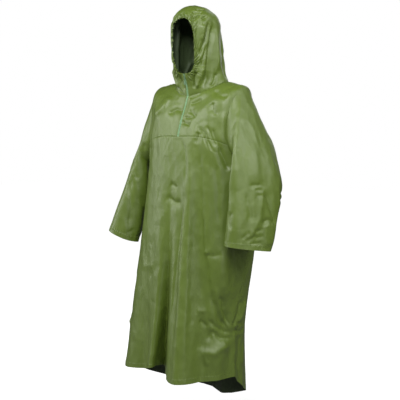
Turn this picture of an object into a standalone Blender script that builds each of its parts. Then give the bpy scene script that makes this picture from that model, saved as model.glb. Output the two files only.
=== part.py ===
"""Hooded half-zip rain poncho, worn shape with nobody in it, modelled in Blender 4.5.

Metres, +Z up. +X is the wearer's left and -Y the front. The origin is the middle of the
shoulder line, at the base of the neck, where the wearer's shoulders hold the poncho.

The cloth is one closed form: rings of the body from the neck seam to the hem, rings of each
sleeve from the armhole to the cuff, and rings of the hood from the neck seam to the crown.
It is cut along the seams into panels. Each panel is a wall of cloth round that form, and
panels that meet share their seam's points and end 0.3 mm apart.
"""
import math

import bmesh
import bpy
import numpy as np

CLOTH = 0.0014              # thickness of the wall of cloth
SEAM_GAP = 0.0003           # clear space between two panels at a seam
LEFT, RIGHT = 1, -1         # sides of the wearer, along X
MITRE_LEAST = 0.28          # a mitre is at most this many times shorter than the wall is thick
STEP = 1e-4                 # step of the differences that give tangents

# Places down the body, as cloth length from the neck seam down the front.
NECK, TIP, UNDERARM, HEM = 0.0, 0.125, 0.330, 1.205
YOKE_SEAM_FRONT = 0.210     # place of the yoke seam at the zip; it dips towards the armholes
ARM_STEPS = 11              # rows of cloth along each half of an armhole
YOKE_STEPS = 7              # of those, the rows above the yoke seam
NECK_STEPS = 4              # rows from the neck seam to the shoulder tip
SKIRT_STEPS = 19            # rows from the underarm to the hem
YOKE_COLUMNS = 14           # columns of a yoke, from the zip to the armhole
BACK_COLUMNS = 10           # columns of half of the back
SLEEVE_STEPS = 13           # rows of a sleeve, from the armhole to the cuff

# The zip: half widths across it, its raised coil, and the slider with its bridge and pull tab.
ZIP_EDGE = 0.0065           # where the panels beside it end
COIL_HALF = 0.0021
COIL_RAISE = 0.0011
CHIN = 0.257                # place of the zip's top end on the hood
SLIDER_PLACE = 0.204        # place of the slider's middle on the hood
COIL_TOP = 0.2095           # the coil ends in the slider, under its neck
SLIDER_HALF_WIDTH = 0.00425
SLIDER_HALF_LENGTH = 0.0055
SLIDER_TAPER = 0.22         # how much narrower its lower end is
SLIDER_PLATE = 0.0009
SLIDER_CLEAR = 0.00025      # clear space between the slider and the cloth or coil in it
SLIDER_FLANGE = 0.0008
SLIDER_NECK = (0.0015, 0.0030)
BRIDGE_HALF_WIDTH = 0.0015
BRIDGE_HALF_LENGTH = 0.0035
BRIDGE_BAR = 0.0014
BRIDGE_WINDOW = 0.0022
TAB_AXIS = (0.0011, -0.0009)    # the hinge, out of the slider's face and up from its middle
TAB_HALF_WIDTH = 0.0032
TAB_HALF_THICK = 0.00065
TAB_BAR = 0.0007
TAB_HOLE = (0.0019, 0.0054)     # the hole's half width and its lower end under the hinge
TAB_LENGTH = 0.0250
TAB_TAPER = 0.15

# The face opening, a squared oval on the hood's disk, where the neck seam is the unit circle.
FACE_CENTRE = -0.469
FACE_HALF_WIDTH = 0.296
FACE_HALF_HEIGHT = 0.272
FACE_SQUARE = 2.24
FACE_FLARE = 0.37           # how much wider it is at its lower end, and narrower at its upper end
CROWN_END = -0.10           # where the columns of the hood end on its centre seam
CENTRE_COLUMNS = 14         # columns of the hood that end on its centre seam
GATHER_COLUMNS = 4          # fine columns to one gather of the face opening
GATHER_DEPTH = 0.0034
GATHER_REACH = 0.16         # part of the way to the seams where the gathers have faded
FINE_ROWS = (0.0, 0.025, 0.06, 0.11)
HOOD_ROWS = (0.18, 0.27, 0.37, 0.48, 0.60, 0.73, 0.87, 1.0)

CLOTH_GREEN = (0.255, 0.330, 0.130)
ZIP_GREEN = (0.230, 0.350, 0.160)
SLIDER_GREEN = (0.170, 0.260, 0.150)


class Table:
    """Rows of named sizes, read smoothly between the places in their first column."""

    def __init__(self, columns, rows):
        self.columns = columns.split()
        self.places = np.array([row[1] for row in rows], float)
        self.values = np.array([row[2:] for row in rows], float)
        step = np.diff(self.places)[:, None]
        rise = np.diff(self.values, axis=0) / step
        self.slopes = np.zeros_like(self.values)
        self.slopes[0] = rise[0]
        self.slopes[-1] = rise[-1]
        self.slopes[1:-1] = (rise[:-1] * step[1:] + rise[1:] * step[:-1]) / (step[1:] + step[:-1])

    def at(self, place):
        """Return each column's value at a place, as a dictionary by the columns' names."""
        place = np.clip(np.asarray(place, float), self.places[0], self.places[-1])
        row = np.clip(np.searchsorted(self.places, place, side="right") - 1, 0, len(self.places) - 2)
        span = (self.places[row + 1] - self.places[row])[..., None]
        part = ((place - self.places[row])[..., None]) / span
        ease = part * part * (3 - 2 * part)
        values = (self.values[row] * (1 - ease) + self.values[row + 1] * ease
                  + self.slopes[row] * span * part * (1 - part) ** 2
                  - self.slopes[row + 1] * span * part ** 2 * (1 - part))
        return dict(zip(self.columns, np.moveaxis(values, -1, 0)))


# Body rings. z_* are heights at the front, sides and back, then the half widths to the
# wearer's right and left, the depths to the front and back and the ring's squareness. dip_*
# say how soon the ring's height leaves the side's: 2 is a smooth saddle, under 1 a tail.
BODY = Table("z_front z_side z_back right left front back square dip_front dip_right dip_left", [
    ("neck", 0.000, -0.035, 0.024, 0.028, 0.124, 0.124, 0.088, 0.096, 2.0, 1.1, 1.5, 1.5),
    ("base", 0.040, -0.062, 0.019, 0.002, 0.156, 0.156, 0.099, 0.115, 2.1, 1.2, 1.5, 1.5),
    ("shoulder", 0.085, -0.095, 0.011, -0.035, 0.192, 0.192, 0.112, 0.130, 2.2, 1.3, 1.5, 1.5),
    ("tip", 0.125, -0.128, 0.000, -0.080, 0.225, 0.225, 0.126, 0.138, 2.3, 1.4, 1.6, 1.6),
    ("bust", 0.210, -0.203, -0.150, -0.188, 0.238, 0.238, 0.150, 0.145, 2.4, 2.0, 2.0, 2.0),
    ("underarm", 0.330, -0.330, -0.310, -0.325, 0.243, 0.243, 0.163, 0.150, 2.4, 2.0, 2.0, 2.0),
    ("waist", 0.500, -0.500, -0.488, -0.500, 0.256, 0.246, 0.172, 0.153, 2.5, 2.0, 1.6, 1.8),
    ("hip", 0.680, -0.680, -0.680, -0.690, 0.280, 0.243, 0.185, 0.150, 2.5, 2.0, 1.2, 1.6),
    ("thigh", 0.900, -0.900, -0.900, -0.940, 0.319, 0.205, 0.205, 0.143, 2.4, 2.0, 0.8, 1.2),
    ("knee", 1.050, -1.055, -1.050, -1.120, 0.343, 0.187, 0.225, 0.148, 2.3, 2.0, 0.6, 1.0),
    ("hem", 1.205, -1.215, -1.205, -1.325, 0.366, 0.180, 0.245, 0.158, 2.3, 2.0, 0.4, 0.8),
])

# Folds of the skirt. Each row is a place down the body, with the fold's angle in degrees from
# the front, its depth (out is positive) and its half widths towards the right and the left.
FOLD_COLUMNS = "angle depth wide_right wide_left"
FOLDS = {
    "flat_front_right": Table(FOLD_COLUMNS, [
        ("waist", 0.500, -50, 0.000, 0.060, 0.060),
        ("hip", 0.680, -45, -0.006, 0.060, 0.060),
        ("thigh", 0.900, -42, -0.020, 0.070, 0.070),
        ("hem", 1.205, -40, -0.055, 0.090, 0.070),
    ]),
    "deep_valley": Table(FOLD_COLUMNS, [
        ("underarm", 0.330, -8, 0.000, 0.030, 0.030),
        ("waist", 0.500, -10, -0.006, 0.024, 0.022),
        ("hip", 0.680, -11, -0.022, 0.022, 0.024),
        ("thigh", 0.900, -12, -0.048, 0.022, 0.030),
        ("hem", 1.205, -12.5, -0.095, 0.025, 0.046),
    ]),
    "front_ridge": Table(FOLD_COLUMNS, [
        ("bust", 0.250, 19, 0.000, 0.020, 0.030),
        ("waist", 0.420, 20, 0.006, 0.015, 0.030),
        ("hip", 0.680, 18, 0.012, 0.016, 0.034),
        ("thigh", 0.900, 17, 0.018, 0.020, 0.040),
        ("hem", 1.205, 16, 0.026, 0.026, 0.050),
    ]),
    "left_hollow": Table(FOLD_COLUMNS, [
        ("waist", 0.450, 34, 0.000, 0.030, 0.030),
        ("hip", 0.680, 36, -0.010, 0.035, 0.035),
        ("thigh", 0.900, 42, -0.018, 0.045, 0.040),
        ("hem", 1.205, 42, -0.020, 0.050, 0.040),
    ]),
    "seam_pull": Table(FOLD_COLUMNS, [
        ("hip", 0.600, 60, 0.000, 0.030, 0.030),
        ("thigh", 0.780, 62, 0.010, 0.030, 0.030),
        ("pull", 0.990, 70, -0.010, 0.040, 0.020),
        ("knee", 1.090, 62, 0.012, 0.050, 0.030),
        ("hem", 1.205, 60, 0.006, 0.050, 0.030),
    ]),
    "back_right_ridge": Table(FOLD_COLUMNS, [
        ("waist", 0.500, -140, 0.000, 0.040, 0.040),
        ("thigh", 0.900, -138, 0.016, 0.040, 0.040),
        ("hem", 1.205, -136, 0.030, 0.050, 0.050),
    ]),
    "back_middle_hollow": Table(FOLD_COLUMNS, [
        ("waist", 0.450, 180, 0.000, 0.050, 0.050),
        ("hip", 0.680, 178, -0.010, 0.045, 0.045),
        ("hem", 1.205, 176, -0.022, 0.050, 0.050),
    ]),
    "back_left_ridge": Table(FOLD_COLUMNS, [
        ("waist", 0.500, 146, 0.000, 0.040, 0.040),
        ("thigh", 0.900, 144, 0.010, 0.035, 0.035),
        ("hem", 1.205, 142, 0.016, 0.035, 0.035),
    ]),
}
# The front hem is drawn up between two angles by the deep valley.
LIFT_ANGLES = (-90, -60, -40, -18, -2, 6)
LIFT_HEIGHTS = (0.0, 0.004, 0.018, 0.046, 0.014, 0.0)
LIFT_FROM, LIFT_OVER = 0.900, 0.305

# How far an armhole is cut into the front and the back, in degrees.
ARM_CUT_FRONT, ARM_CUT_BACK = 24.0, 22.0

# Sleeve rings: centre, half widths across the thin and the wide way, the height of the
# outer edge over the centre, of the front edge over the centre, turn in degrees, squareness.
SLEEVE_COLUMNS = "x y z thin wide rise tilt turn square"
SLEEVE_RINGS = {
    LEFT: Table(SLEEVE_COLUMNS, [
        ("armhole", 0.00, 0.2340, 0.008, -0.1500, -0.0090, 0.0925, 0.1500, 0.000, 0, 2.0),
        ("cap", 0.10, 0.2650, 0.000, -0.2075, -0.0010, 0.1050, 0.1075, 0.000, 0, 2.0),
        ("upper arm", 0.20, 0.2880, -0.012, -0.2700, 0.0170, 0.1170, 0.0700, 0.000, 5, 2.1),
        ("biceps", 0.30, 0.3045, -0.022, -0.3450, 0.0395, 0.1240, 0.0450, 0.000, 10, 2.2),
        ("elbow", 0.42, 0.3150, -0.034, -0.4400, 0.0545, 0.1220, 0.0200, 0.000, 18, 2.4),
        ("forearm", 0.54, 0.3170, -0.060, -0.5450, 0.0550, 0.1100, 0.0030, 0.004, 24, 2.6),
        ("cuff", 0.65, 0.3120, -0.083, -0.6520, 0.0520, 0.0950, -0.0020, 0.012, 30, 2.8),
    ]),
    RIGHT: Table(SLEEVE_COLUMNS, [
        ("armhole", 0.00, 0.2340, 0.008, -0.1500, -0.0090, 0.0925, 0.1500, 0.000, 0, 2.0),
        ("cap", 0.10, 0.2600, 0.008, -0.2075, -0.0020, 0.1000, 0.1075, 0.000, 0, 2.0),
        ("upper arm", 0.20, 0.2760, 0.006, -0.2650, 0.0040, 0.1000, 0.0750, 0.000, 2, 2.1),
        ("biceps", 0.30, 0.2920, -0.002, -0.3350, 0.0215, 0.1030, 0.0500, 0.000, 6, 2.2),
        ("elbow", 0.42, 0.3220, -0.018, -0.4250, 0.0420, 0.1130, 0.0270, 0.000, 14, 2.4),
        ("forearm", 0.54, 0.3540, -0.045, -0.5300, 0.0540, 0.1100, 0.0220, 0.000, 22, 2.6),
        ("cuff", 0.65, 0.3790, -0.075, -0.6350, 0.0570, 0.0980, 0.0240, -0.004, 28, 2.8),
    ]),
}
CUFF = 0.65
CAP_BLEND = 0.20            # where a sleeve has left the armhole's own outline

# Hood rings, from the neck seam at 0 to the crown at 1.
HOOD = Table("z_front z_side z_back middle half front back square dip_front", [
    ("neck", 0.00, -0.035, 0.024, 0.028, 0.000, 0.124, 0.088, 0.096, 2.0, 1.1),
    ("throat", 0.10, 0.000, 0.050, 0.055, -0.004, 0.110, 0.090, 0.095, 2.1, 1.5),
    ("chin", 0.25, 0.055, 0.085, 0.095, -0.012, 0.104, 0.100, 0.098, 2.3, 2.0),
    ("cheek", 0.42, 0.120, 0.130, 0.140, -0.022, 0.104, 0.102, 0.098, 2.5, 2.0),
    ("temple", 0.60, 0.210, 0.210, 0.210, -0.032, 0.101, 0.100, 0.100, 2.5, 2.0),
    ("brow", 0.76, 0.270, 0.270, 0.265, -0.035, 0.096, 0.093, 0.092, 2.5, 2.0),
    ("crown edge", 0.90, 0.318, 0.312, 0.300, -0.036, 0.072, 0.070, 0.070, 2.3, 2.0),
    ("crown", 0.96, 0.336, 0.333, 0.325, -0.036, 0.042, 0.042, 0.040, 2.1, 2.0),
    ("top", 1.00, 0.343, 0.343, 0.340, -0.036, 0.002, 0.002, 0.002, 2.0, 2.0),
])


def unit(vectors):
    """Return vectors scaled to a length of one."""
    return vectors / np.maximum(np.linalg.norm(vectors, axis=-1, keepdims=True), 1e-12)


def oval(angle, half, depth, square):
    """Return the radius of a squared oval at an angle from the front."""
    across = np.abs(np.sin(angle)) / half
    along = np.abs(np.cos(angle)) / depth
    return (across ** square + along ** square) ** (-1 / square)


def ring_height(ring, angle, dip_back):
    """Return the height of a ring at an angle, from its front, side and back heights."""
    front = np.cos(angle) > 0
    end = np.where(front, ring["z_front"], ring["z_back"])
    dip = np.where(front, ring["dip_front"], dip_back)
    return ring["z_side"] + (end - ring["z_side"]) * np.maximum(np.abs(np.cos(angle)), 1e-9) ** dip


def fold_depth(angle, place, radius):
    """Return how far the folds move the skirt out at an angle and a place."""
    total = np.zeros_like(radius)
    for fold in FOLDS.values():
        row = fold.at(place)
        turn = (np.degrees(angle) - row["angle"] + 180) % 360 - 180
        wide = np.where(turn < 0, row["wide_right"], row["wide_left"])
        total = total + row["depth"] * np.exp(-(np.radians(turn) * radius / wide) ** 2)
    return total


def body_point(angle, place):
    """Return points of the body's cloth. The angle is 0 at the front, positive to the left."""
    angle, place = np.broadcast_arrays(np.asarray(angle, float), np.asarray(place, float))
    ring = BODY.at(place)
    half = np.where(np.sin(angle) > 0, ring["left"], ring["right"])
    depth = np.where(np.cos(angle) > 0, ring["front"], ring["back"])
    square = ring["square"]
    radius = oval(angle, half, depth, square)
    out_x = np.sign(np.sin(angle)) * np.abs(np.sin(angle)) ** (square - 1) / half ** square
    out_y = -np.sign(np.cos(angle)) * np.abs(np.cos(angle)) ** (square - 1) / depth ** square
    out = unit(np.stack([out_x, out_y, np.zeros_like(out_x)], -1))
    low = np.clip((place - LIFT_FROM) / LIFT_OVER, 0, 1) ** 2
    lift = np.interp(np.degrees(angle), LIFT_ANGLES, LIFT_HEIGHTS) * low
    dip_back = np.where(np.sin(angle) > 0, ring["dip_left"], ring["dip_right"])
    height = ring_height(ring, angle, dip_back) + lift
    point = np.stack([radius * np.sin(angle), -radius * np.cos(angle), height], -1)
    return point + out * fold_depth(angle, place, radius)[..., None]


def armhole_place(turn):
    """Return the place down the body of an armhole's point, by its turn from the top."""
    return TIP + (UNDERARM - TIP) * (0.5 - 0.5 * np.cos(turn))


def armhole_angle(place, cut):
    """Return the body angle of an armhole's edge, 90 degrees above and below it."""
    part = np.clip((place - TIP) / (UNDERARM - TIP), 0, 1)
    open_part = np.clip(1 - np.abs(2 * part - 1) ** 2.2, 0, 1) ** 0.62
    return np.radians(90 + cut * open_part)


def armhole_point(turn, side):
    """Return points of an armhole. The turn is 0 on top, a quarter at the front."""
    turn = np.mod(np.asarray(turn, float), 2 * math.pi)
    front = turn <= math.pi
    place = armhole_place(turn)
    angle = np.where(front, armhole_angle(place, -ARM_CUT_FRONT), armhole_angle(place, ARM_CUT_BACK))
    return body_point(side * angle, place)


def sleeve_ring(ring, turn, side):
    """Return the points of one sleeve ring at the turns given."""
    square = ring["square"]
    radius = (np.abs(np.cos(turn)) ** square + np.abs(np.sin(turn)) ** square) ** (-1 / square)
    out = np.cos(turn) * radius
    ahead = np.sin(turn) * radius
    yaw = np.radians(ring["turn"])
    x = ring["x"] + out * ring["thin"] * np.cos(yaw) - ahead * ring["wide"] * np.sin(yaw)
    y = ring["y"] - out * ring["thin"] * np.sin(yaw) - ahead * ring["wide"] * np.cos(yaw)
    z = ring["z"] + out * ring["rise"] + ahead * ring["tilt"]
    return np.stack([side * x, y, z], -1)


def sleeve_point(turn, place, side):
    """Return points of a sleeve. The place is 0 at the armhole and CUFF at the cuff."""
    turn, place = np.broadcast_arrays(np.asarray(turn, float), np.asarray(place, float))
    rings = SLEEVE_RINGS[side]
    point = sleeve_ring(rings.at(place), turn, side)
    near = np.clip(1 - place / CAP_BLEND, 0, 1)
    share = (near * near * (3 - 2 * near))[..., None]
    start = sleeve_ring(rings.at(np.zeros_like(place)), turn, side)
    return point + share * (armhole_point(turn, side) - start)


def hood_point(angle, place):
    """Return points of the hood's form, as if it had no face opening."""
    angle, place = np.broadcast_arrays(np.asarray(angle, float), np.asarray(place, float))
    ring = HOOD.at(place)
    depth = np.where(np.cos(angle) > 0, ring["front"], ring["back"])
    radius = oval(angle, ring["half"], depth, ring["square"])
    height = ring_height(ring, angle, 1.5)
    return np.stack([radius * np.sin(angle), ring["middle"] - radius * np.cos(angle), height], -1)


def zip_angle(place, across, rings):
    """Return the angle on a ring of the body or the hood at a distance beside its front."""
    return across / rings.at(place)["front"]


def disk(angle, place):
    """Return the place of a hood point on the disk whose rim is the neck seam."""
    return np.stack([(1 - place) * np.sin(angle), -(1 - place) * np.cos(angle)], -1)


def gather_wave(part, count):
    """Return the height of the gathers along the face opening, uneven from one to the next."""
    phase = part * count
    number = np.floor(phase + 0.5)
    uneven = 0.72 + 0.28 * np.sin(number * 2.4) * np.cos(number * 1.1)
    return np.sin(2 * math.pi * phase) * uneven


def face_rim(turn):
    """Return points of the face opening's left half on the disk. The turn is 0 at the zip."""
    radius = oval(turn, 1.0, 1.0, FACE_SQUARE)
    across, along_face = radius * np.sin(turn), radius * np.cos(turn)
    x = FACE_HALF_WIDTH * across * (1 + FACE_FLARE * along_face)
    return np.stack([x, FACE_CENTRE - FACE_HALF_HEIGHT * along_face], -1)


def hood_half_point(part, row, edge, side, gathers):
    """Return points of half of the hood.

    part runs along the face opening from the zip to the brow, row from the opening to the
    seams. edge holds the seams' points on the disk for each part.
    """
    start = math.asin(zip_angle(CHIN, ZIP_EDGE, HOOD) * (1 - CHIN) / (FACE_HALF_WIDTH * (1 + FACE_FLARE)))
    rim = face_rim(start + (math.pi - start) * part)
    spot = rim * (1 - row)[..., None] + edge * row[..., None]
    spread = 0.16 * np.sin(math.pi * part) * row * (1 - row)
    spot = spot + np.stack([spread, np.zeros_like(spread)], -1)
    angle = np.arctan2(spot[..., 0], -spot[..., 1])
    point = hood_point(angle, 1 - np.hypot(spot[..., 0], spot[..., 1]))
    fade = np.clip(1 - row / GATHER_REACH, 0, 1) ** 1.5 * np.clip(part * 8, 0, 1)
    heading = unit(point - np.array([0.0, -0.02, 0.16]))
    point = point + heading * (GATHER_DEPTH * fade * gather_wave(part, gathers))[..., None]
    return point * np.array([side, 1, 1])


def surface_normal(surface, first, second, outward):
    """Return unit normals of a surface of two parameters, turned by the sign given."""
    along = surface(first + STEP, second) - surface(first - STEP, second)
    down = surface(first, second + STEP) - surface(first, second - STEP)
    return unit(np.cross(along, down)) * outward


def body_normal(angle, place):
    """Return the body's outward normals."""
    return surface_normal(body_point, angle, np.maximum(place, STEP), -1)


def sleeve_normal(turn, place, side):
    """Return a sleeve's outward normals."""
    return surface_normal(lambda a, b: sleeve_point(a, b, side), turn, np.maximum(place, STEP), side)


def hood_normal(angle, place):
    """Return the hood's outward normals."""
    return surface_normal(hood_point, angle, np.clip(place, STEP, 1 - STEP), 1)


def mitre(first, second):
    """Return the shared direction and half thickness where two walls meet at a seam."""
    shared = unit(first + second)
    lean = np.maximum(np.sum(shared * first, -1, keepdims=True), MITRE_LEAST)
    return shared * (CLOTH / 2) / lean


def seam_step(tangent, wall, toward):
    """Return half a seam's gap, square to the seam and along the cloth, on the side given."""
    across = unit(np.cross(tangent, wall))
    sign = np.sign(np.sum(across * toward, -1, keepdims=True))
    return across * sign * SEAM_GAP / 2


def along(surface, first, second):
    """Return a surface's tangent along its first parameter."""
    return surface(first + STEP, second) - surface(first - STEP, second)


def down(surface, first, second):
    """Return a surface's tangent along its second parameter."""
    return surface(first, second + STEP) - surface(first, np.maximum(second - STEP, 0))


def neck_seam(angle):
    """Return half the wall at the neck seam, and half its gap towards the body."""
    zero = np.zeros_like(angle)
    wall = mitre(body_normal(angle, zero), hood_normal(angle, zero))
    return wall, seam_step(along(body_point, angle, zero), wall, down(body_point, angle, zero))


def armhole_seam(turn, side):
    """Return half the wall at an armhole, and half its gap towards the sleeve."""
    turn = np.asarray(turn, float)
    zero = np.zeros_like(turn)
    front = np.mod(turn, 2 * math.pi) <= math.pi
    place = armhole_place(turn)
    angle = np.where(front, armhole_angle(place, -ARM_CUT_FRONT), armhole_angle(place, ARM_CUT_BACK))
    wall = mitre(body_normal(side * angle, place), sleeve_normal(turn, zero, side))
    tangent = armhole_point(turn + STEP, side) - armhole_point(turn - STEP, side)
    sleeve_way = sleeve_point(turn, zero + 0.01, side) - sleeve_point(turn, zero, side)
    return wall, seam_step(tangent, wall, sleeve_way)


def row_faces(upper, lower, wrap):
    """Return the faces between two rows of vertices, of equal counts or two to one."""
    count = len(lower)
    if len(upper) == count:
        ends = range(count if wrap else count - 1)
        return [(upper[i], upper[(i + 1) % count], lower[(i + 1) % count], lower[i]) for i in ends]
    faces = []
    for i in range(count - 1):
        a, b, c = upper[2 * i], upper[2 * i + 1], upper[2 * i + 2]
        faces += [(a, b, lower[i]), (b, lower[i + 1], lower[i]), (b, c, lower[i + 1])]
    return faces


def finish(name, bm, colour, roughness=0.42, smooth=True):
    """Turn a bmesh into a named object with its own material."""
    bmesh.ops.recalc_face_normals(bm, faces=bm.faces)
    mesh = bpy.data.meshes.new(name)
    bm.to_mesh(mesh)
    bm.free()
    if smooth:
        mesh.shade_smooth()
        mesh.set_sharp_from_angle(angle=math.radians(60))
    material = bpy.data.materials.new(name)
    material.use_nodes = True
    shader = material.node_tree.nodes["Principled BSDF"]
    shader.inputs["Base Color"].default_value = (*colour, 1)
    shader.inputs["Roughness"].default_value = roughness
    mesh.materials.append(material)
    thing = bpy.data.objects.new(name, mesh)
    bpy.context.scene.collection.objects.link(thing)
    return thing


def cloth_piece(name, points, wall, wrap=False, colour=CLOTH_GREEN):
    """Build one closed panel of cloth.

    points and wall are lists of rows: the middle of the cloth, and half its thickness as a
    vector out of it.
    """
    bm = bmesh.new()
    outer = [[bm.verts.new(p) for p in row + half] for row, half in zip(points, wall)]
    inner = [[bm.verts.new(p) for p in row - half] for row, half in zip(points, wall)]
    for skin in (outer, inner):
        for upper, lower in zip(skin, skin[1:]):
            for face in row_faces(upper, lower, wrap):
                bm.faces.new(face)
    for row in (0, -1):
        for face in row_faces(outer[row], inner[row], wrap):
            bm.faces.new(face)
    if not wrap:
        for column in (0, -1):
            edge_out = [row[column] for row in outer]
            edge_in = [row[column] for row in inner]
            for face in row_faces(edge_out, edge_in, False):
                bm.faces.new(face)
    return finish(name, bm, colour)


def shares(count):
    """Return places from 0 to 1, closer together near 0, where the front has its folds."""
    even = np.linspace(0, 1, count + 1)
    return 0.72 * even + 0.28 * even ** 2


def body_rows():
    """Return the rows of the body: above the armhole, along it, and the skirt."""
    arm = armhole_place(np.linspace(0, math.pi, ARM_STEPS + 1))
    above = np.linspace(NECK, TIP, NECK_STEPS + 1)[:-1]
    skirt = np.linspace(UNDERARM, HEM, SKIRT_STEPS + 1)[1:]
    return above, arm, skirt


def front_angles(place):
    """Return the angles of a front row's columns on one side, from the zip's edge."""
    limit = armhole_angle(place, -ARM_CUT_FRONT)
    start = zip_angle(front_places(place, 0), ZIP_EDGE, BODY)
    return start + (limit - start) * shares(YOKE_COLUMNS)


def front_places(place, share):
    """Return the places along a front row, which is named by its place at the armhole."""
    yoke_seam_side = armhole_place(math.pi * YOKE_STEPS / ARM_STEPS)
    knots = (TIP, yoke_seam_side, UNDERARM)
    middle = np.interp(place, knots, (TIP, YOKE_SEAM_FRONT, UNDERARM)) if TIP < place < UNDERARM else place
    return place + (middle - place) * (1 - share ** 2)


def back_angles(place):
    """Return the angles of a back row's columns, from the left side round to the right."""
    limit = armhole_angle(place, ARM_CUT_BACK)
    part = np.linspace(0, 1, BACK_COLUMNS + 1)
    left = limit + (math.pi - limit) * part
    return np.concatenate([left, (2 * math.pi - left)[::-1][1:]])


def end_seam(place, angle, side, front):
    """Return half the wall at a row's end, and the step that keeps it off its seams."""
    at = np.array([angle])
    place_at = np.array([place])
    wall = body_normal(at, place_at) * CLOTH / 2
    step = np.zeros((1, 3))
    if TIP - STEP < place < UNDERARM + STEP:
        turn = math.acos(np.clip(1 - 2 * (place - TIP) / (UNDERARM - TIP), -1, 1))
        wall, sleeve_step = armhole_seam(np.array([turn if front else -turn]), side)
        step = step - sleeve_step
    if place < TIP + STEP or place > UNDERARM - STEP:
        inward = -side if front else side
        toward = along(body_point, at, place_at) * inward
        step = step + seam_step(down(body_point, at, place_at), wall, toward)
    return wall[0], step[0]


def build_panel(name, rows, columns, front, sides, top_seam, bottom_seam):
    """Build one panel of the body.

    columns gives the angles and places of a row's columns. sides names the side of the body at
    each row's first and last end, or 0 beside the zip.
    """
    points = []
    wall = []
    for place in rows:
        angles, places = columns(place)
        row = body_point(angles, places)
        half = body_normal(angles, places) * CLOTH / 2
        if place == NECK:
            half, step = neck_seam(angles)
            row = row + step
        elif (place == rows[0] and top_seam) or (place == rows[-1] and bottom_seam):
            inward = 1 if place == rows[0] else -1
            toward = down(body_point, angles, places) * inward
            row = row + seam_step(np.gradient(row, axis=0), half, toward)
        for end, side in zip((0, -1), sides):
            if side:
                end_half, end_step = end_seam(place, angles[end], side, front)
                row[end] += end_step
                if place != NECK:
                    half[end] = end_half
        points.append(row)
        wall.append(half)
    return cloth_piece(name, points, wall)


def build_body():
    """Build the two yokes, the front and the back."""
    above, arm, skirt = body_rows()
    yoke_rows = np.concatenate([above, arm[:YOKE_STEPS + 1]])

    def left_yoke(place):
        angles = front_angles(place)
        return angles, front_places(place, angles / angles[-1])

    def right_yoke(place):
        angles, places = left_yoke(place)
        return -angles, places

    def whole_front(place):
        angles, places = left_yoke(place)
        return np.concatenate([-angles[::-1], angles]), np.concatenate([places[::-1], places])

    def whole_back(place):
        angles = back_angles(place)
        return angles, np.full_like(angles, place)

    build_panel("yoke_left", yoke_rows, left_yoke, True, (0, LEFT), False, True)
    build_panel("yoke_right", yoke_rows, right_yoke, True, (0, RIGHT), False, True)
    front_rows = np.concatenate([arm[YOKE_STEPS:], skirt])
    build_panel("front_panel", front_rows, whole_front, True, (RIGHT, LEFT), True, False)
    back_rows = np.concatenate([above, arm, skirt])
    build_panel("back_panel", back_rows, whole_back, False, (LEFT, RIGHT), False, False)


def build_sleeve(side):
    """Build one sleeve, a tube from the armhole to the cuff."""
    turns = np.linspace(0, 2 * math.pi, 2 * ARM_STEPS + 1)[:-1]
    places = CUFF * np.linspace(0, 1, SLEEVE_STEPS + 1) ** 1.25
    points = [sleeve_point(turns, place, side) for place in places]
    wall = [sleeve_normal(turns, np.full_like(turns, place), side) * CLOTH / 2 for place in places]
    wall[0], step = armhole_seam(turns, side)
    points[0] = points[0] + step
    return cloth_piece("sleeve_left" if side == LEFT else "sleeve_right", points, wall, wrap=True)


def hood_edge(fine):
    """Return the seams' points on the disk: round the neck, then up the centre seam."""
    neck_angles = np.concatenate([front_angles(NECK), back_angles(NECK)[1:BACK_COLUMNS + 1]])
    neck = disk(neck_angles, 0.0)
    up = np.linspace(1, CROWN_END, CENTRE_COLUMNS + 1)[1:]
    seam = np.stack([np.zeros_like(up), up], -1)
    edge = np.concatenate([neck, seam])
    if fine:
        middle = (edge[1:] + edge[:-1]) / 2
        wide = np.empty((len(edge) * 2 - 1, 2))
        wide[0::2] = edge
        wide[1::2] = middle
        edge = wide
    return edge, len(neck)


def build_hood_half(side):
    """Build half of the hood, gathered along the face opening."""
    coarse, neck_count = hood_edge(False)
    fine, _ = hood_edge(True)
    gathers = (len(fine) - 1) / GATHER_COLUMNS

    def surface(part, row):
        edge = np.stack([np.interp(part, np.linspace(0, 1, len(coarse)), coarse[:, i]) for i in (0, 1)], -1)
        return hood_half_point(part, row, edge, side, gathers)

    points = []
    wall = []
    for row in FINE_ROWS + HOOD_ROWS:
        edge = fine if row in FINE_ROWS else coarse
        part = np.linspace(0, 1, len(edge))
        rows = np.full_like(part, row)
        points.append(surface(part, rows))
        inner = np.clip(part, STEP, 1 - STEP)
        normal = surface_normal(surface, inner, np.clip(rows, STEP, 1 - STEP), side)
        wall.append(normal * CLOTH / 2)
    neck_angles = np.concatenate([front_angles(NECK), back_angles(NECK)[1:BACK_COLUMNS + 1]])
    mirror = np.array([side, 1, 1])
    half, step = neck_seam(neck_angles)
    wall[-1][:neck_count] = half * mirror
    points[-1][:neck_count] -= step * mirror
    flat = np.array([0, 1, 1])
    for row, half in zip(points, wall):
        centre = slice(-1, None) if row is not points[-1] else slice(neck_count - 1, None)
        row[centre, 0] = side * SEAM_GAP / 2
        half[centre] = unit(half[centre] * flat) * np.linalg.norm(half[centre], axis=-1, keepdims=True)
    return cloth_piece("hood_left" if side == LEFT else "hood_right", points, wall)


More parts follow.
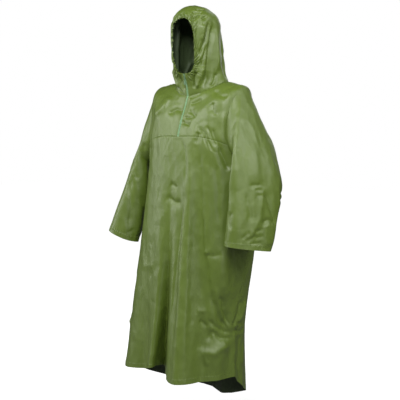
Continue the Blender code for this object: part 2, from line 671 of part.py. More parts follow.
def zip_strip(across, top):
    """Return rows of points and normals of a strip of the zip, from the yoke seam up.

    across lists distances from the zip's middle to the wearer's left, and top is the place on
    the hood where the strip ends.
    """
    above, arm, _ = body_rows()
    places = [front_places(place, 0) for place in np.concatenate([above, arm[:YOKE_STEPS + 1]])]
    points = []
    normals = []
    for place in places[::-1]:
        angles = zip_angle(place, across, BODY)
        level = np.full_like(angles, place)
        points.append(body_point(angles, level))
        normals.append(body_normal(angles, level))
    neck_angles = zip_angle(NECK, across, BODY)
    normals[-1] = unit(normals[-1] + hood_normal(neck_angles, np.zeros_like(neck_angles)))
    bottom = zip_angle(places[-1], across, BODY)
    lower_edge = np.full_like(bottom, places[-1])
    toward = -down(body_point, bottom, lower_edge)
    points[0] = points[0] + seam_step(along(body_point, bottom, lower_edge), normals[0], toward)
    for row in sorted(set(FINE_ROWS + HOOD_ROWS[:-1]), reverse=True):
        angles = zip_angle(top * (1 - row), across, HOOD)
        level = np.full_like(angles, top * (1 - row))
        points.append(hood_point(angles, level))
        normals.append(hood_normal(angles, level))
    return points, normals


def build_zip():
    """Build the zip's two tapes and the raised coil between them."""
    for side in (LEFT, RIGHT):
        across = side * np.array([COIL_HALF + SEAM_GAP, ZIP_EDGE - SEAM_GAP])
        points, normals = zip_strip(across, CHIN)
        name = "zip_tape_left" if side == LEFT else "zip_tape_right"
        cloth_piece(name, points, [normal * CLOTH / 2 for normal in normals], colour=ZIP_GREEN)
    across = COIL_HALF * np.array([-1.0, -0.5, 0.5, 1.0])
    raised = COIL_RAISE * np.array([0.3, 1.0, 1.0, 0.3])[:, None]
    points, normals = zip_strip(across, COIL_TOP)
    middle = [row + normal * raised / 2 for row, normal in zip(points, normals)]
    cloth_piece("zip_coil", middle, [normal * (CLOTH + raised) / 2 for normal in normals], colour=ZIP_GREEN)


def blocks(name, boxes, placed, colour):
    """Build one solid from boxes that join over whole faces, each a (low, high) for x, y and z."""
    boxes = np.round(np.array(boxes, float), 7)
    levels = [np.unique(boxes[:, axis]) for axis in range(3)]
    filled = np.zeros([len(level) + 1 for level in levels], bool)
    for box in boxes:
        spans = zip(levels, box)
        cells = [slice(*(np.searchsorted(level, ends) + 1)) for level, ends in spans]
        filled[tuple(cells)] = True
    bm = bmesh.new()
    corners = {}

    def corner(index):
        if index not in corners:
            spot = [level[i] for level, i in zip(levels, index)]
            corners[index] = bm.verts.new(placed(*spot))
        return corners[index]

    for cell in np.argwhere(filled):
        for axis in range(3):
            for way in (0, 1):
                beside = cell.copy()
                beside[axis] += 2 * way - 1
                if filled[tuple(beside)]:
                    continue
                face = []
                for step in ((0, 0), (1, 0), (1, 1), (0, 1)):
                    index = cell - 1
                    index[axis] += way
                    index[(axis + 1) % 3] += step[0]
                    index[(axis + 2) % 3] += step[1]
                    face.append(corner(tuple(int(i) for i in index)))
                bm.faces.new(face)
    return finish(name, bm, colour, roughness=0.35, smooth=False)


def slider_frame():
    """Return the slider's middle on the cloth, and the directions out of it and up along it."""
    middle = hood_point(0.0, SLIDER_PLACE)
    up = unit(hood_point(0.0, SLIDER_PLACE + 0.01) - hood_point(0.0, SLIDER_PLACE - 0.01))
    out = np.cross(up, (-1.0, 0.0, 0.0))
    return middle, out, up


def build_slider():
    """Build the zip's slider with its bridge, and the pull tab that hangs in the bridge."""
    middle, out, up = slider_frame()
    wide, long = SLIDER_HALF_WIDTH, SLIDER_HALF_LENGTH
    front_in = CLOTH / 2 + COIL_RAISE + SLIDER_CLEAR
    front = front_in + SLIDER_PLATE
    back_in = -CLOTH / 2 - SLIDER_CLEAR
    bridge_in = front + BRIDGE_WINDOW
    neck_half, neck_long = SLIDER_NECK
    bridge = (-BRIDGE_HALF_WIDTH, BRIDGE_HALF_WIDTH)
    foot = BRIDGE_HALF_LENGTH - BRIDGE_BAR
    flange_in = CLOTH / 2 + SLIDER_CLEAR

    def on_slider(x, forward, height):
        narrower = 1 - SLIDER_TAPER * (0.5 - height / long / 2)
        return middle + np.array([x * narrower, 0, 0]) + out * forward + up * height

    blocks("zip_slider", [
        ((-wide, wide), (front_in, front), (-long, long)),
        ((-wide, wide), (back_in - SLIDER_PLATE, back_in), (-long, long)),
        ((-neck_half, neck_half), (back_in, front_in), (long - neck_long, long)),
        ((-wide, SLIDER_FLANGE - wide), (flange_in, front_in), (-long, long)),
        ((wide - SLIDER_FLANGE, wide), (flange_in, front_in), (-long, long)),
        (bridge, (front, bridge_in), (-BRIDGE_HALF_LENGTH, -foot)),
        (bridge, (front, bridge_in), (foot, BRIDGE_HALF_LENGTH)),
        (bridge, (bridge_in, bridge_in + BRIDGE_BAR), (-BRIDGE_HALF_LENGTH, BRIDGE_HALF_LENGTH)),
    ], on_slider, SLIDER_GREEN)

    hinge = middle + out * (front + TAB_AXIS[0]) + up * TAB_AXIS[1]
    side, thick = TAB_HALF_WIDTH, (-TAB_HALF_THICK, TAB_HALF_THICK)
    hole, hole_end = TAB_HOLE

    def on_tab(x, forward, height):
        narrower = 1 - TAB_TAPER * max(0, -height - hole_end) / (TAB_LENGTH - hole_end)
        return hinge + np.array([x * narrower, -forward, height])

    blocks("zip_pull_tab", [
        ((-side, side), thick, (-TAB_BAR, TAB_BAR)),
        ((-side, -hole), thick, (-hole_end, -TAB_BAR)),
        ((hole, side), thick, (-hole_end, -TAB_BAR)),
        ((-side, side), thick, (-TAB_LENGTH, -hole_end)),
    ], on_tab, SLIDER_GREEN)


def main():
    """Clear the scene and build the poncho."""
    for thing in list(bpy.data.objects):
        bpy.data.objects.remove(thing, do_unlink=True)
    build_body()
    for side in (LEFT, RIGHT):
        build_sleeve(side)
        build_hood_half(side)
    build_zip()
    build_slider()


main()
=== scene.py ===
"""A hooded half-zip rain poncho of coated olive cloth, in its worn shape with nobody in it.

Metres, +Z up, +X the wearer's left and -Y the front, as in the frame. Each panel is a thin wall
of cloth on the poncho's own rings, dressed with its creases, seams, hems and stitches.
"""

import logging
import math
from collections.abc import Callable, Sequence
from dataclasses import dataclass, field
from enum import Enum

import bmesh
import bpy
import numpy as np
from mathutils import Matrix, Vector


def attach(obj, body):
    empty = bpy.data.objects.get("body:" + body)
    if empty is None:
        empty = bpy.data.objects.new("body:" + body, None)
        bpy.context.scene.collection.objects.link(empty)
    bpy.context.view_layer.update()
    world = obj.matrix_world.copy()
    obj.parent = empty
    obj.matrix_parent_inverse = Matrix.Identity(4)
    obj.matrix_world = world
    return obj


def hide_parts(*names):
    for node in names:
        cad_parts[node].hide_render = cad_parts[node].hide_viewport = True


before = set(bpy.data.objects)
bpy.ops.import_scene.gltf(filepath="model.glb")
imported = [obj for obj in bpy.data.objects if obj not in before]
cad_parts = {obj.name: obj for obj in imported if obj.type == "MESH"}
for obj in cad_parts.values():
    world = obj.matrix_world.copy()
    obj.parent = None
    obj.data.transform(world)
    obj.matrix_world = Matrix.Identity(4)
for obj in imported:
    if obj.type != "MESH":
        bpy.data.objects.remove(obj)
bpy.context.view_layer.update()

log = logging.getLogger("poncho")

Array = np.ndarray
Surface = Callable[[Array, Array], Array]

# Places down the body, as cloth length from the neck seam down the front.
NECK, TIP, UNDERARM, HEM = 0.0, 0.125, 0.330, 1.205
# The sleeve's length, and the step between the points that give a surface's normal.
CUFF, STEP = 0.65, 1e-4
# Distances of the close rows of points beside a seam.
BESIDE_SEAM = (0.0008, 0.0017, 0.0028)


class Side(Enum):
    """A side of the wearer, as its sign along X."""

    LEFT = 1
    RIGHT = -1

    @property
    def word(self) -> str:
        """Return the side's name in lower case."""
        return self.name.lower()


class Table:
    """Rows of named sizes, read smoothly between the places in their first column."""

    def __init__(self, columns: str, rows: Sequence[tuple]) -> None:
        """Keep the rows.

        Args:
            columns: The columns' names after the place, in one string.
            rows: Each row's name, its place and its values.
        """
        self.columns = columns.split()
        self.places = np.array([row[1] for row in rows], float)
        self.values = np.array([row[2:] for row in rows], float)
        step = np.diff(self.places)[:, None]
        rise = np.diff(self.values, axis=0) / step
        self.slopes = np.zeros_like(self.values)
        self.slopes[0] = rise[0]
        self.slopes[-1] = rise[-1]
        self.slopes[1:-1] = (rise[:-1] * step[1:] + rise[1:] * step[:-1]) / (step[1:] + step[:-1])

    def at(self, place: Array) -> dict[str, Array]:
        """Return each column's value at a place.

        Args:
            place: Places between the first row's and the last row's.

        Returns:
            The values by the columns' names.
        """
        place = np.clip(np.asarray(place, float), self.places[0], self.places[-1])
        row = np.clip(np.searchsorted(self.places, place, side="right") - 1, 0, len(self.places) - 2)
        span = (self.places[row + 1] - self.places[row])[..., None]
        part = ((place - self.places[row])[..., None]) / span
        ease = part * part * (3 - 2 * part)
        values = (self.values[row] * (1 - ease) + self.values[row + 1] * ease
                  + self.slopes[row] * span * part * (1 - part) ** 2
                  - self.slopes[row + 1] * span * part ** 2 * (1 - part))
        return dict(zip(self.columns, np.moveaxis(values, -1, 0)))


@dataclass(frozen=True)
class Crease:
    """A soft trough or ridge that follows a line on the cloth.

    Attributes:
        name: What it is.
        height: How far it moves the cloth out; a trough is negative.
        left: Half width to the left of its line, going along it and seen from outside.
        right: Half width to the right.
        path: Places that the line goes through, in the form's own two parameters.
        start: Share of its length over which it rises from nothing; 0 where it starts at once.
        end: Share of its length over which it dies away.
    """

    name: str
    height: float
    left: float
    right: float
    path: tuple[tuple[float, float], ...]
    start: float = 0.25
    end: float = 0.25

    @classmethod
    def table(cls, *rows: tuple) -> "tuple[Crease, ...]":
        """Return the creases of rows, whose heights and half widths are in millimetres."""
        return tuple(cls(name, *(round(size / 1000, 7) for size in (height, left, right)), *rest)
                     for name, height, left, right, *rest in rows)


# A row is a crease's name, its height, its half widths to the left and right, its path and, where
# they aren't a quarter, the shares at its start and end. The path's places are an angle in degrees
# and a place down the body or the sleeve, and on the hood the two parts of Hood.point.
BODY_CREASES = Crease.table(
    ("shoulder fold", 11, 13.7, 30, ((-46.7, 0.053), (-43.3, 0.134), (-53.8, 0.178))),
    ("collar fold low", -6.5, 8.1, 8.1, ((-32.5, 0.132), (-20.4, 0.095), (-2.8, 0.084))),
    ("zip fold", -6, 7.5, 7.5, ((16.8, 0.092), (30, 0.147))),
    ("zip cross", -5, 6.2, 6.2, ((5.1, 0.12), (24.2, 0.138))),
    ("yoke dash", -7, 8.7, 8.7, ((54.1, 0.127), (54.4, 0.157), (57.1, 0.177))),
    ("shoulder dash", -9, 11.2, 11.2, ((63.5, 0.043), (64.6, 0.115), (69.2, 0.139))),
    ("collar dash a", -5.5, 6.9, 6.9, ((9.1, 0.009), (36.9, 0.004))),
    ("collar dash b", -5.5, 6.9, 6.9, ((16, 0.05), (39.4, 0.057))),
    ("gather a", -3, 4, 4, ((33.9, 0.18), (43.3, 0.235), (47.7, 0.276))),
    ("gather b", -3, 4, 4, ((39.5, 0.196), (47.9, 0.247), (52, 0.285))),
    ("gather c", -4.5, 5.6, 5.6, ((47, 0.196), (51.2, 0.233), (56, 0.27))),
    ("gather d", -4.5, 5.6, 5.6, ((52.4, 0.209), (56.2, 0.248), (59.9, 0.281))),
    ("armhole tuck", -9, 11.2, 11.2, ((58, 0.27), (61.7, 0.298), (68.2, 0.351))),
    ("yoke side ridge", 5, 40, 20, ((64.1, 0.175), (62.4, 0.215), (60, 0.261))),
    ("chest flat", -4.5, 30, 30, ((43.4, 0.041), (49.1, 0.135), (52, 0.166))),
    ("yoke right side a", -6, 7.5, 7.5, ((2.3, 0.139), (21.7, 0.167))),
    ("yoke seam tuck", -6, 10, 7.5, ((35.5, 0.209), (32.9, 0.233), (31.5, 0.246))),
    ("crest trough", -5.3, 7, 6.6, ((7.1, 0.226), (14.1, 0.266), (17.9, 0.322), (19.3, 0.398))),
    ("band trough", -4.5, 10, 6, ((17.2, 0.447), (14.2, 0.526), (11.4, 0.595), (8.1, 0.719), (5.1, 0.843),
     (3, 0.964))),
    ("main crest", 9.5, 13, 30, ((23.1, 0.246), (25.3, 0.343), (25.6, 0.464), (24.9, 0.585), (23.9, 0.707),
     (23.6, 0.83), (23.1, 0.95), (22.6, 1.068), (22.1, 1.163))),
    ("panel edge", 3, 16, 50, ((-14, 0.48), (-17, 0.7), (-19, 0.9), (-21.5, 1.23)), 0.6, 0),
    ("belly dash a", -6, 7.5, 7.5, ((-11, 0.4), (3.3, 0.414))),
    ("belly dash b", -8.5, 10.6, 10.6, ((-14.5, 0.447), (-4.2, 0.474), (11.3, 0.476))),
    ("flank trough", -8, 12, 30, ((35.7, 0.245), (38.4, 0.345), (39, 0.465), (39.8, 0.585), (41.3, 0.664),
     (44.7, 0.737), (47.7, 0.828), (51, 0.895))),
    ("flank star", 4.5, 10, 10, ((41.3, 0.668), (46.9, 0.679))),
    ("flank cross", -4.5, 8, 8, ((44.7, 0.683), (51.9, 0.688), (59.4, 0.674))),
    ("soft stripe a", -3, 14, 14, ((45.5, 0.282), (49.5, 0.426), (51, 0.565), (50.9, 0.643))),
    ("soft stripe b", -4.5, 12, 12, ((54, 0.313), (56.4, 0.427), (56.9, 0.566))),
    ("side crest", 5, 30, 20, ((58.4, 0.662), (60.3, 0.743), (64.9, 0.828), (75.7, 0.952), (79.6, 1.009))),
    ("pull fold a", -7.5, 9.4, 10, ((50.5, 0.836), (54.1, 0.891), (61, 0.947), (73.9, 0.994))),
    ("pull ridge a", 6, 8, 8, ((55.5, 0.819), (58.5, 0.883), (67.5, 0.95), (77.8, 0.999))),
    ("pull fold b", -7.5, 9.4, 9.4, ((60.2, 0.853), (66.1, 0.915), (76.3, 0.986))),
    ("pull fold c", -7.5, 9.4, 9.4, ((48.3, 0.954), (57.6, 0.983), (69.6, 1.006), (79.7, 1.017))),
    ("facet trough", -9, 11.2, 11.2, ((47.9, 1.044), (53.1, 1.008), (64.2, 1.032), (80.3, 1.035))),
    ("facet ridge", 9, 20, 14, ((40.7, 1.076), (52.6, 1.092), (61.3, 1.075), (77.2, 1.075))),
    ("low streak", 4, 10, 14, ((38, 1.062), (44.3, 1.105), (48.5, 1.142))),
    ("thigh dash a", -4.5, 8, 8, ((37.3, 0.953), (47.4, 0.983))),
    ("thigh dash b", 3.7, 10, 10, ((34.8, 0.916), (45.6, 0.917))),
    ("thigh dash c", -3.7, 10, 10, ((26.4, 0.858), (29.6, 0.911), (28.7, 0.97))),
    ("left panel a", 2.3, 10, 10, ((-52.6, 0.757), (-33.9, 0.749))),
    ("left panel b", -2.5, 14, 14, ((-22, 0.737), (-30.4, 0.769), (-38.6, 0.793))),
    ("left panel c", -2, 14, 14, ((-29.6, 0.621), (-41.5, 0.667))),
    ("left panel d", 2, 20, 20, ((-58.2, 1.049), (-51.3, 1.079), (-41.5, 1.082))),
    ("tail light a", 7.5, 9.4, 9.4, ((104.6, 0.881), (96.3, 0.948), (84.6, 0.998))),
    ("tail trough a", -6, 7.5, 7.5, ((90.4, 0.881), (87.7, 0.94), (80.7, 0.988))),
    ("tail dash", -6, 7.5, 7.5, ((85.8, 0.982), (100.8, 0.976))),
    ("tail dash b", -6, 7.5, 7.5, ((85, 1.007), (97.7, 1.01), (105.5, 0.995))),
    ("tail soft", 3, 16, 16, ((78.6, 0.715), (83.7, 0.771), (97.6, 0.818))),
    ("tail streak a", -4.5, 9, 9, ((91.9, 1.1), (95.2, 1.168))),
    ("tail streak b", 4.5, 9, 9, ((111.7, 1.058), (109.5, 1.133))),
    ("side seam edge", 6, 7.5, 22, ((86, 1.01), (87.5, 1.09), (88, 1.205)), 0.15, 0),
    ("tail hollow", -7, 20, 10, ((97, 1.02), (98, 1.11), (99, 1.205)), 0.2, 0),
    ("right armhole tuck", -8, 10, 10, ((-57, 0.268), (-61, 0.3), (-67, 0.362))),
    ("right side crest", 5.5, 18, 30, ((-66, 0.48), (-69, 0.76), (-72, 1.12)), 0.3, 0.2),
    ("right side trough", -7, 12, 26, ((-80, 0.38), (-84, 0.64), (-85, 0.88), (-88, 1.15)), 0.3, 0.2),
    ("right pull fold a", -6.5, 8.1, 10, ((-68, 0.8), (-74, 0.89), (-84, 0.95))),
    ("right pull fold b", -6, 8, 8, ((-69, 0.96), (-76, 0.972), (-86, 0.965))),
    ("right pull ridge", 6, 10, 14, ((-67, 1.02), (-74, 1.008), (-86, 0.988))),
    ("back shoulder fold a", -6.5, 8.1, 10, ((112, 0.05), (131, 0.112), (150, 0.14))),
    ("back shoulder fold b", 8, 10, 28, ((-114, 0.045), (-130, 0.12), (-146, 0.17))),
    ("back collar dash a", -5, 6.2, 7, ((150, 0.036), (171, 0.06), (186, 0.052))),
    ("back collar dash b", -5.5, 7, 6.9, ((-139, 0.03), (-158, 0.072))),
    ("back blade drag a", -6.5, 8.1, 9, ((109, 0.205), (121, 0.262), (133, 0.352))),
    ("back blade drag b", -5.5, 7, 8, ((112, 0.172), (127, 0.222), (142, 0.306))),
    ("back blade drag c", -7, 9, 8.7, ((-108, 0.215), (-119, 0.27), (-129, 0.37))),
    ("back blade drag d", -4.5, 6, 6, ((-111, 0.178), (-128, 0.214))),
    ("back long fold a", -9.5, 20, 34, ((149, 0.26), (153, 0.47), (156, 0.72), (158, 0.98),
     (160, 1.205)), 0.3, 0),
    ("back long fold b", 9, 22, 44, ((-162, 0.3), (-158, 0.56), (-153, 0.86), (-151, 1.205)), 0.3, 0),
    ("back long fold c", -8, 30, 16, ((181, 0.42), (178, 0.72), (176, 1), (175, 1.205)), 0.4, 0),
    ("back long fold d", 7, 40, 18, ((127, 0.42), (130, 0.66), (133, 0.96), (134, 1.205)), 0.3, 0),
    ("back long fold e", -8.5, 18, 34, ((-127, 0.35), (-130, 0.62), (-133, 0.9), (-134, 1.205)), 0.3, 0),
    ("back waist dash a", -5, 7, 8, ((163, 0.455), (172, 0.474), (183, 0.466))),
    ("back waist dash b", -6.5, 8.1, 9, ((-170, 0.512), (-158, 0.494), (-147, 0.503))),
    ("seat fold a", -6.5, 9, 10, ((138, 0.648), (149, 0.692), (158, 0.776))),
    ("seat fold b", -5.5, 8, 9, ((-171, 0.73), (-160, 0.704), (-149, 0.742))),
    ("seat ridge", 5, 12, 10, ((-142, 0.8), (-134, 0.842), (-121, 0.858))),
    ("back low dash a", -5, 8, 8, ((143, 1.06), (151, 1.12), (153, 1.17))),
    ("back low dash b", -5.5, 9, 8, ((-146, 1.03), (-139, 1.076), (-126, 1.088))),
)
SLEEVE_CREASES = {
    Side.LEFT: Crease.table(
        ("edge ridge", 5.3, 12, 10, ((24.3, 0.026), (45.4, 0.097), (73.8, 0.159), (93.1, 0.241),
         (95.1, 0.344), (87.7, 0.447), (78.5, 0.541))),
        ("middle ridge", 4, 22, 20, ((1.3, 0.127), (13.5, 0.235), (14.4, 0.335), (8.3, 0.399))),
        ("outer ridge", 6, 34, 20, ((357.1, 0.046), (353.5, 0.127), (349.2, 0.207), (344, 0.276),
         (340.4, 0.344), (322.5, 0.415))),
        ("elbow dash a", -5.3, 6.6, 6.6, ((29.7, 0.396), (6.1, 0.393))),
        ("elbow dash b", -4.5, 5.6, 5.6, ((18.7, 0.414), (0.9, 0.418))),
        ("elbow dash c", -4.5, 5.6, 5.6, ((13.5, 0.434), (-0.2, 0.439))),
        ("elbow sweep", -9, 11.2, 11.2, ((0.7, 0.423), (-16.4, 0.467), (-34.2, 0.517), (-48.1, 0.559))),
        ("forearm dash a", -6, 7.5, 7.5, ((351.9, 0.54), (338.4, 0.533), (321.6, 0.552))),
        ("forearm ridge", 6, 14, 16, ((3.6, 0.407), (1.6, 0.474), (0.4, 0.529), (6.7, 0.575),
         (16.2, 0.612))),
        ("forearm trough", -5.3, 8, 10, ((37.3, 0.422), (26.8, 0.484), (15.3, 0.54))),
        ("forearm fan", 2.5, 14, 20, ((43, 0.437), (45, 0.524), (46.5, 0.607))),
        ("forearm shade", 6, 30, 12, ((348.7, 0.547), (334.4, 0.593), (324, 0.634))),
        ("front dash", -5.3, 7, 6.6, ((73.8, 0.496), (79.4, 0.536), (63, 0.575))),
        ("cuff pucker a", -4.5, 5.6, 5.6, ((30.1, 0.609), (15.5, 0.579))),
        ("cuff pucker b", -4.5, 5.6, 5.6, ((19.8, 0.62), (-0.4, 0.591))),
        ("cuff pucker c", -4.5, 5.6, 5.6, ((6.1, 0.579), (-14, 0.567))),
        ("cuff pucker d", -4.5, 5.6, 5.6, ((0.5, 0.602), (-20.5, 0.594))),
        ("cuff pucker e", -3.7, 4.6, 4.6, ((9.5, 0.626), (-19.8, 0.62))),
        ("back edge ridge", 5.5, 12, 10, ((301, 0.05), (290, 0.18), (283, 0.33), (286, 0.5))),
        ("back long fold", -7.5, 10, 28, ((250, 0.09), (257, 0.26), (266, 0.44), (261, 0.6))),
        ("elbow fan a", -6.5, 8.1, 8.1, ((270, 0.4), (288, 0.421), (310, 0.417))),
        ("elbow fan b", -5, 6.2, 6.2, ((266, 0.445), (290, 0.452), (306, 0.446))),
        ("inner fold", -6, 10, 14, ((168, 0.2), (176, 0.34), (172, 0.48))),
        ("cuff pucker g", -4, 5, 5, ((246, 0.625), (262, 0.598))),
        ("cuff pucker h", -4.5, 5.6, 5.6, ((206, 0.618), (221, 0.601))),
    ),
    Side.RIGHT: Crease.table(
        ("lens trough", -12, 28, 15, ((70.2, 0.374), (110.2, 0.475), (121.6, 0.596))),
        ("inner ridge", 19, 23.7, 46, ((112, 0.11), (128, 0.2), (138, 0.31), (146, 0.42), (151, 0.54),
         (154, 0.65)), 0.3, 0),
        ("outer ridge r", 6, 20, 32, ((2, 0.05), (6, 0.15), (12, 0.28), (24, 0.415))),
        ("back edge ridge r", 5.5, 10, 14, ((298, 0.04), (292, 0.2), (285, 0.35), (281, 0.52))),
        ("back long fold r", -7, 26, 10, ((258, 0.11), (264, 0.3), (259, 0.48), (264, 0.61))),
        ("elbow fan r a", -6, 7.5, 7.5, ((278, 0.375), (297, 0.402), (322, 0.405))),
        ("elbow fan r b", -5, 6.2, 6.2, ((281, 0.42), (303, 0.431), (329, 0.424))),
        ("elbow fan r c", -7, 8.7, 9, ((283, 0.47), (306, 0.463), (335, 0.447), (350, 0.45))),
        ("forearm ridge r", 5.5, 14, 14, ((338, 0.48), (333, 0.54), (341, 0.6))),
        ("cuff pucker r a", -4, 5, 5, ((322, 0.618), (341, 0.596))),
        ("cuff pucker r b", -4.5, 5.6, 5.6, ((289, 0.624), (303, 0.592))),
        ("cuff pucker r c", -4, 5, 5, ((240, 0.622), (262, 0.604))),
        ("upper soft a", -4.5, 10, 10, ((64.1, 0.296), (114.9, 0.359))),
        ("upper soft b", -3.7, 10, 10, ((99.6, 0.072), (142.8, 0.175))),
        ("inner soft", -4.5, 10, 10, ((138.1, 0.443), (157.9, 0.561), (158.8, 0.614))),
        ("cuff pucker f", -3.7, 5, 5, ((118.9, 0.622), (136.3, 0.596))),
        ("cuff pucker g", -3.7, 5, 5, ((143.4, 0.63), (171.3, 0.611))),
    ),
}
HOOD_CREASES = {
    Side.LEFT: Crease.table(
        ("long fold", -18, 16, 10, ((0.608, 0.27), (0.53, 0.288), (0.465, 0.292), (0.378, 0.362),
         (0.274, 0.562), (0.169, 0.79))),
        ("face fold", -13, 9, 7, ((0.625, 0.212), (0.542, 0.198), (0.484, 0.152), (0.448, 0.058))),
        ("face fold b", -10.5, 8, 6, ((0.489, 0.233), (0.438, 0.205), (0.385, 0.16), (0.31, 0.088))),
        ("face flat", 6.5, 9, 9, ((0.62, 0.147), (0.517, 0.145))),
        ("neck trough", -10.9, 6, 6, ((0.261, 0.103), (0.152, 0.295), (0.107, 0.698))),
        ("neck ridge", 13, 12, 10, ((0.346, 0.285), (0.247, 0.417), (0.146, 0.75))),
        ("nape trough", -8.7, 8, 7, ((0.375, 0.7), (0.304, 0.88), (0.259, 0.993))),
        ("nape soft", 9.5, 14, 12, ((0.566, 0.32), (0.492, 0.427), (0.388, 0.652))),
        ("crown dash a", -8.7, 5, 5, ((0.881, 0.21), (0.811, 0.245))),
        ("crown dash b", -8.7, 5, 5, ((0.791, 0.062), (0.777, 0.188))),
        ("crown dash c", -7.7, 5, 5, ((0.693, 0.155), (0.716, 0.21))),
        ("crown dash d", -7.7, 5, 5, ((0.895, 0.333), (0.856, 0.357))),
        ("side trough", -6, 12, 10, ((0.65, 0.38), (0.59, 0.44), (0.515, 0.56), (0.42, 0.79))),
        ("nape fold", -8, 8, 10, ((0.56, 0.6), (0.47, 0.76), (0.42, 0.95))),
        ("crown fold", -6.5, 10, 12, ((0.76, 0.42), (0.66, 0.56), (0.6, 0.76))),
    ),
    Side.RIGHT: Crease.table(
        ("chin fold a", -8.7, 6, 6, ((0.16, 0.188), (0.07, 0.435), (0.021, 0.73))),
        ("chin fold b", -8.7, 6, 6, ((0.22, 0.782), (0.095, 0.955))),
        ("brow dash", -7.7, 5, 5, ((0.948, 0.205), (0.999, 0.285))),
        ("long fold r", -16, 10, 20, ((0.64, 0.25), (0.56, 0.29), (0.485, 0.33), (0.41, 0.42), (0.3, 0.61),
         (0.215, 0.8))),
        ("face fold r", -10.1, 7, 9, ((0.655, 0.2), (0.575, 0.185), (0.5, 0.13), (0.47, 0.05))),
        ("cheek fold r", -8.7, 6, 8, ((0.47, 0.215), (0.405, 0.19), (0.345, 0.1))),
        ("neck ridge r", 10.1, 10, 12, ((0.33, 0.31), (0.262, 0.47), (0.18, 0.78))),
        ("nape trough r", -8.7, 7, 9, ((0.41, 0.68), (0.335, 0.86), (0.29, 0.99))),
        ("nape fold r", -7.2, 7, 10, ((0.52, 0.64), (0.43, 0.8), (0.38, 0.96))),
        ("crown dash r a", -8.7, 5, 5, ((0.86, 0.19), (0.795, 0.26))),
        ("crown dash r b", -7.7, 5, 6, ((0.74, 0.11), (0.705, 0.225))),
    ),
}


def unit(vectors: Array) -> Array:
    """Return vectors scaled to a length of one."""
    return vectors / np.maximum(np.linalg.norm(vectors, axis=-1, keepdims=True), 1e-12)


def smooth(value: Array) -> Array:
    """Return a value clipped to 0 to 1 and eased at both ends."""
    value = np.clip(value, 0, 1)
    return value * value * (3 - 2 * value)


def spread(end: float, step: float, fine: bool = False) -> Array:
    """Return places from 0 to an end.

    Args:
        end: The last place.
        step: About how far apart they are.
        fine: Whether a few close ones follow the first.

    Returns:
        The places, in order.
    """
    places = np.linspace(0, end, max(2, round(end / step) + 1))
    if fine:
        close = (*BESIDE_SEAM, 0.0044)
        places = np.concatenate([[0], close, places[places > close[-1] + 0.0012]])
    return places


def distances(points: Array) -> Array:
    """Return how far along a line of points each of them is."""
    return np.concatenate([[0], np.cumsum(np.linalg.norm(np.diff(points, axis=0), axis=1))])


def read_along(stops: Array, places: Array, values: Array) -> Array:
    """Return points or directions at stops along a line, from those at the line's places."""
    return np.stack([np.interp(stops, places, values[:, axis]) for axis in range(3)], -1)


def added(name: str, data: bpy.types.ID) -> bpy.types.Object:
    """Return a new object of the scene with the data given."""
    thing = bpy.data.objects.new(name, data)
    bpy.context.scene.collection.objects.link(thing)
    return thing


def in_degrees(surface: Surface) -> Surface:
    """Return a surface whose first parameter is in degrees."""
    return lambda angle, place: surface(np.radians(angle), place)


def oval(angle: Array, half: Array, depth: Array, square: Array) -> Array:
    """Return the radius of a squared oval at an angle from the front."""
    across = np.abs(np.sin(angle)) / half
    along = np.abs(np.cos(angle)) / depth
    return (across ** square + along ** square) ** (-1 / square)


def ring_height(ring: dict[str, Array], angle: Array, dip_back: Array | float) -> Array:
    """Return the height of a ring at an angle, from its front, side and back heights."""
    front = np.cos(angle) > 0
    end = np.where(front, ring["z_front"], ring["z_back"])
    dip = np.where(front, ring["dip_front"], dip_back)
    return ring["z_side"] + (end - ring["z_side"]) * np.maximum(np.abs(np.cos(angle)), 1e-9) ** dip


def bell(row: dict[str, Array], angle: Array, radius: Array) -> Array:
    """Return the share of a fold at an angle, 1 on its line and less to both sides.

    Args:
        row: The fold's angle in degrees and its half widths, at each place.
        angle: Angles round the body.
        radius: The body's radius there.

    Returns:
        The shares.
    """
    turn = (np.degrees(angle) - row["angle"] + 180) % 360 - 180
    wide = np.where(turn < 0, row["wide_right"], row["wide_left"])
    return np.exp(-(np.radians(turn) * radius / wide) ** 2)


def paired(first: Array, second: Array) -> Sequence[Array]:
    """Return a surface's two parameters as arrays of one shape."""
    return np.broadcast_arrays(np.asarray(first, float), np.asarray(second, float))


def surface_normal(surface: Surface, first: Array, second: Array, outward: float) -> Array:
    """Return unit normals of a surface of two parameters, turned by the sign given."""
    along = surface(first + STEP, second) - surface(first - STEP, second)
    down = surface(first, second + STEP) - surface(first, second - STEP)
    return unit(np.cross(along, down)) * outward


def grid_normal(points: Array, near: Array, wrap: bool) -> Array:
    """Return unit normals of a grid of points, on the side of the normals given.

    Args:
        points: Rows of columns of points.
        near: Normals that say which side is out.
        wrap: Whether each row closes on itself.

    Returns:
        The grid's normals.
    """
    if wrap:
        along = np.roll(points, -1, axis=1) - np.roll(points, 1, axis=1)
    else:
        along = np.gradient(points, axis=1)
    normal = unit(np.cross(along, np.gradient(points, axis=0)))
    sign = np.sign(np.sum(normal * near))
    return normal * sign


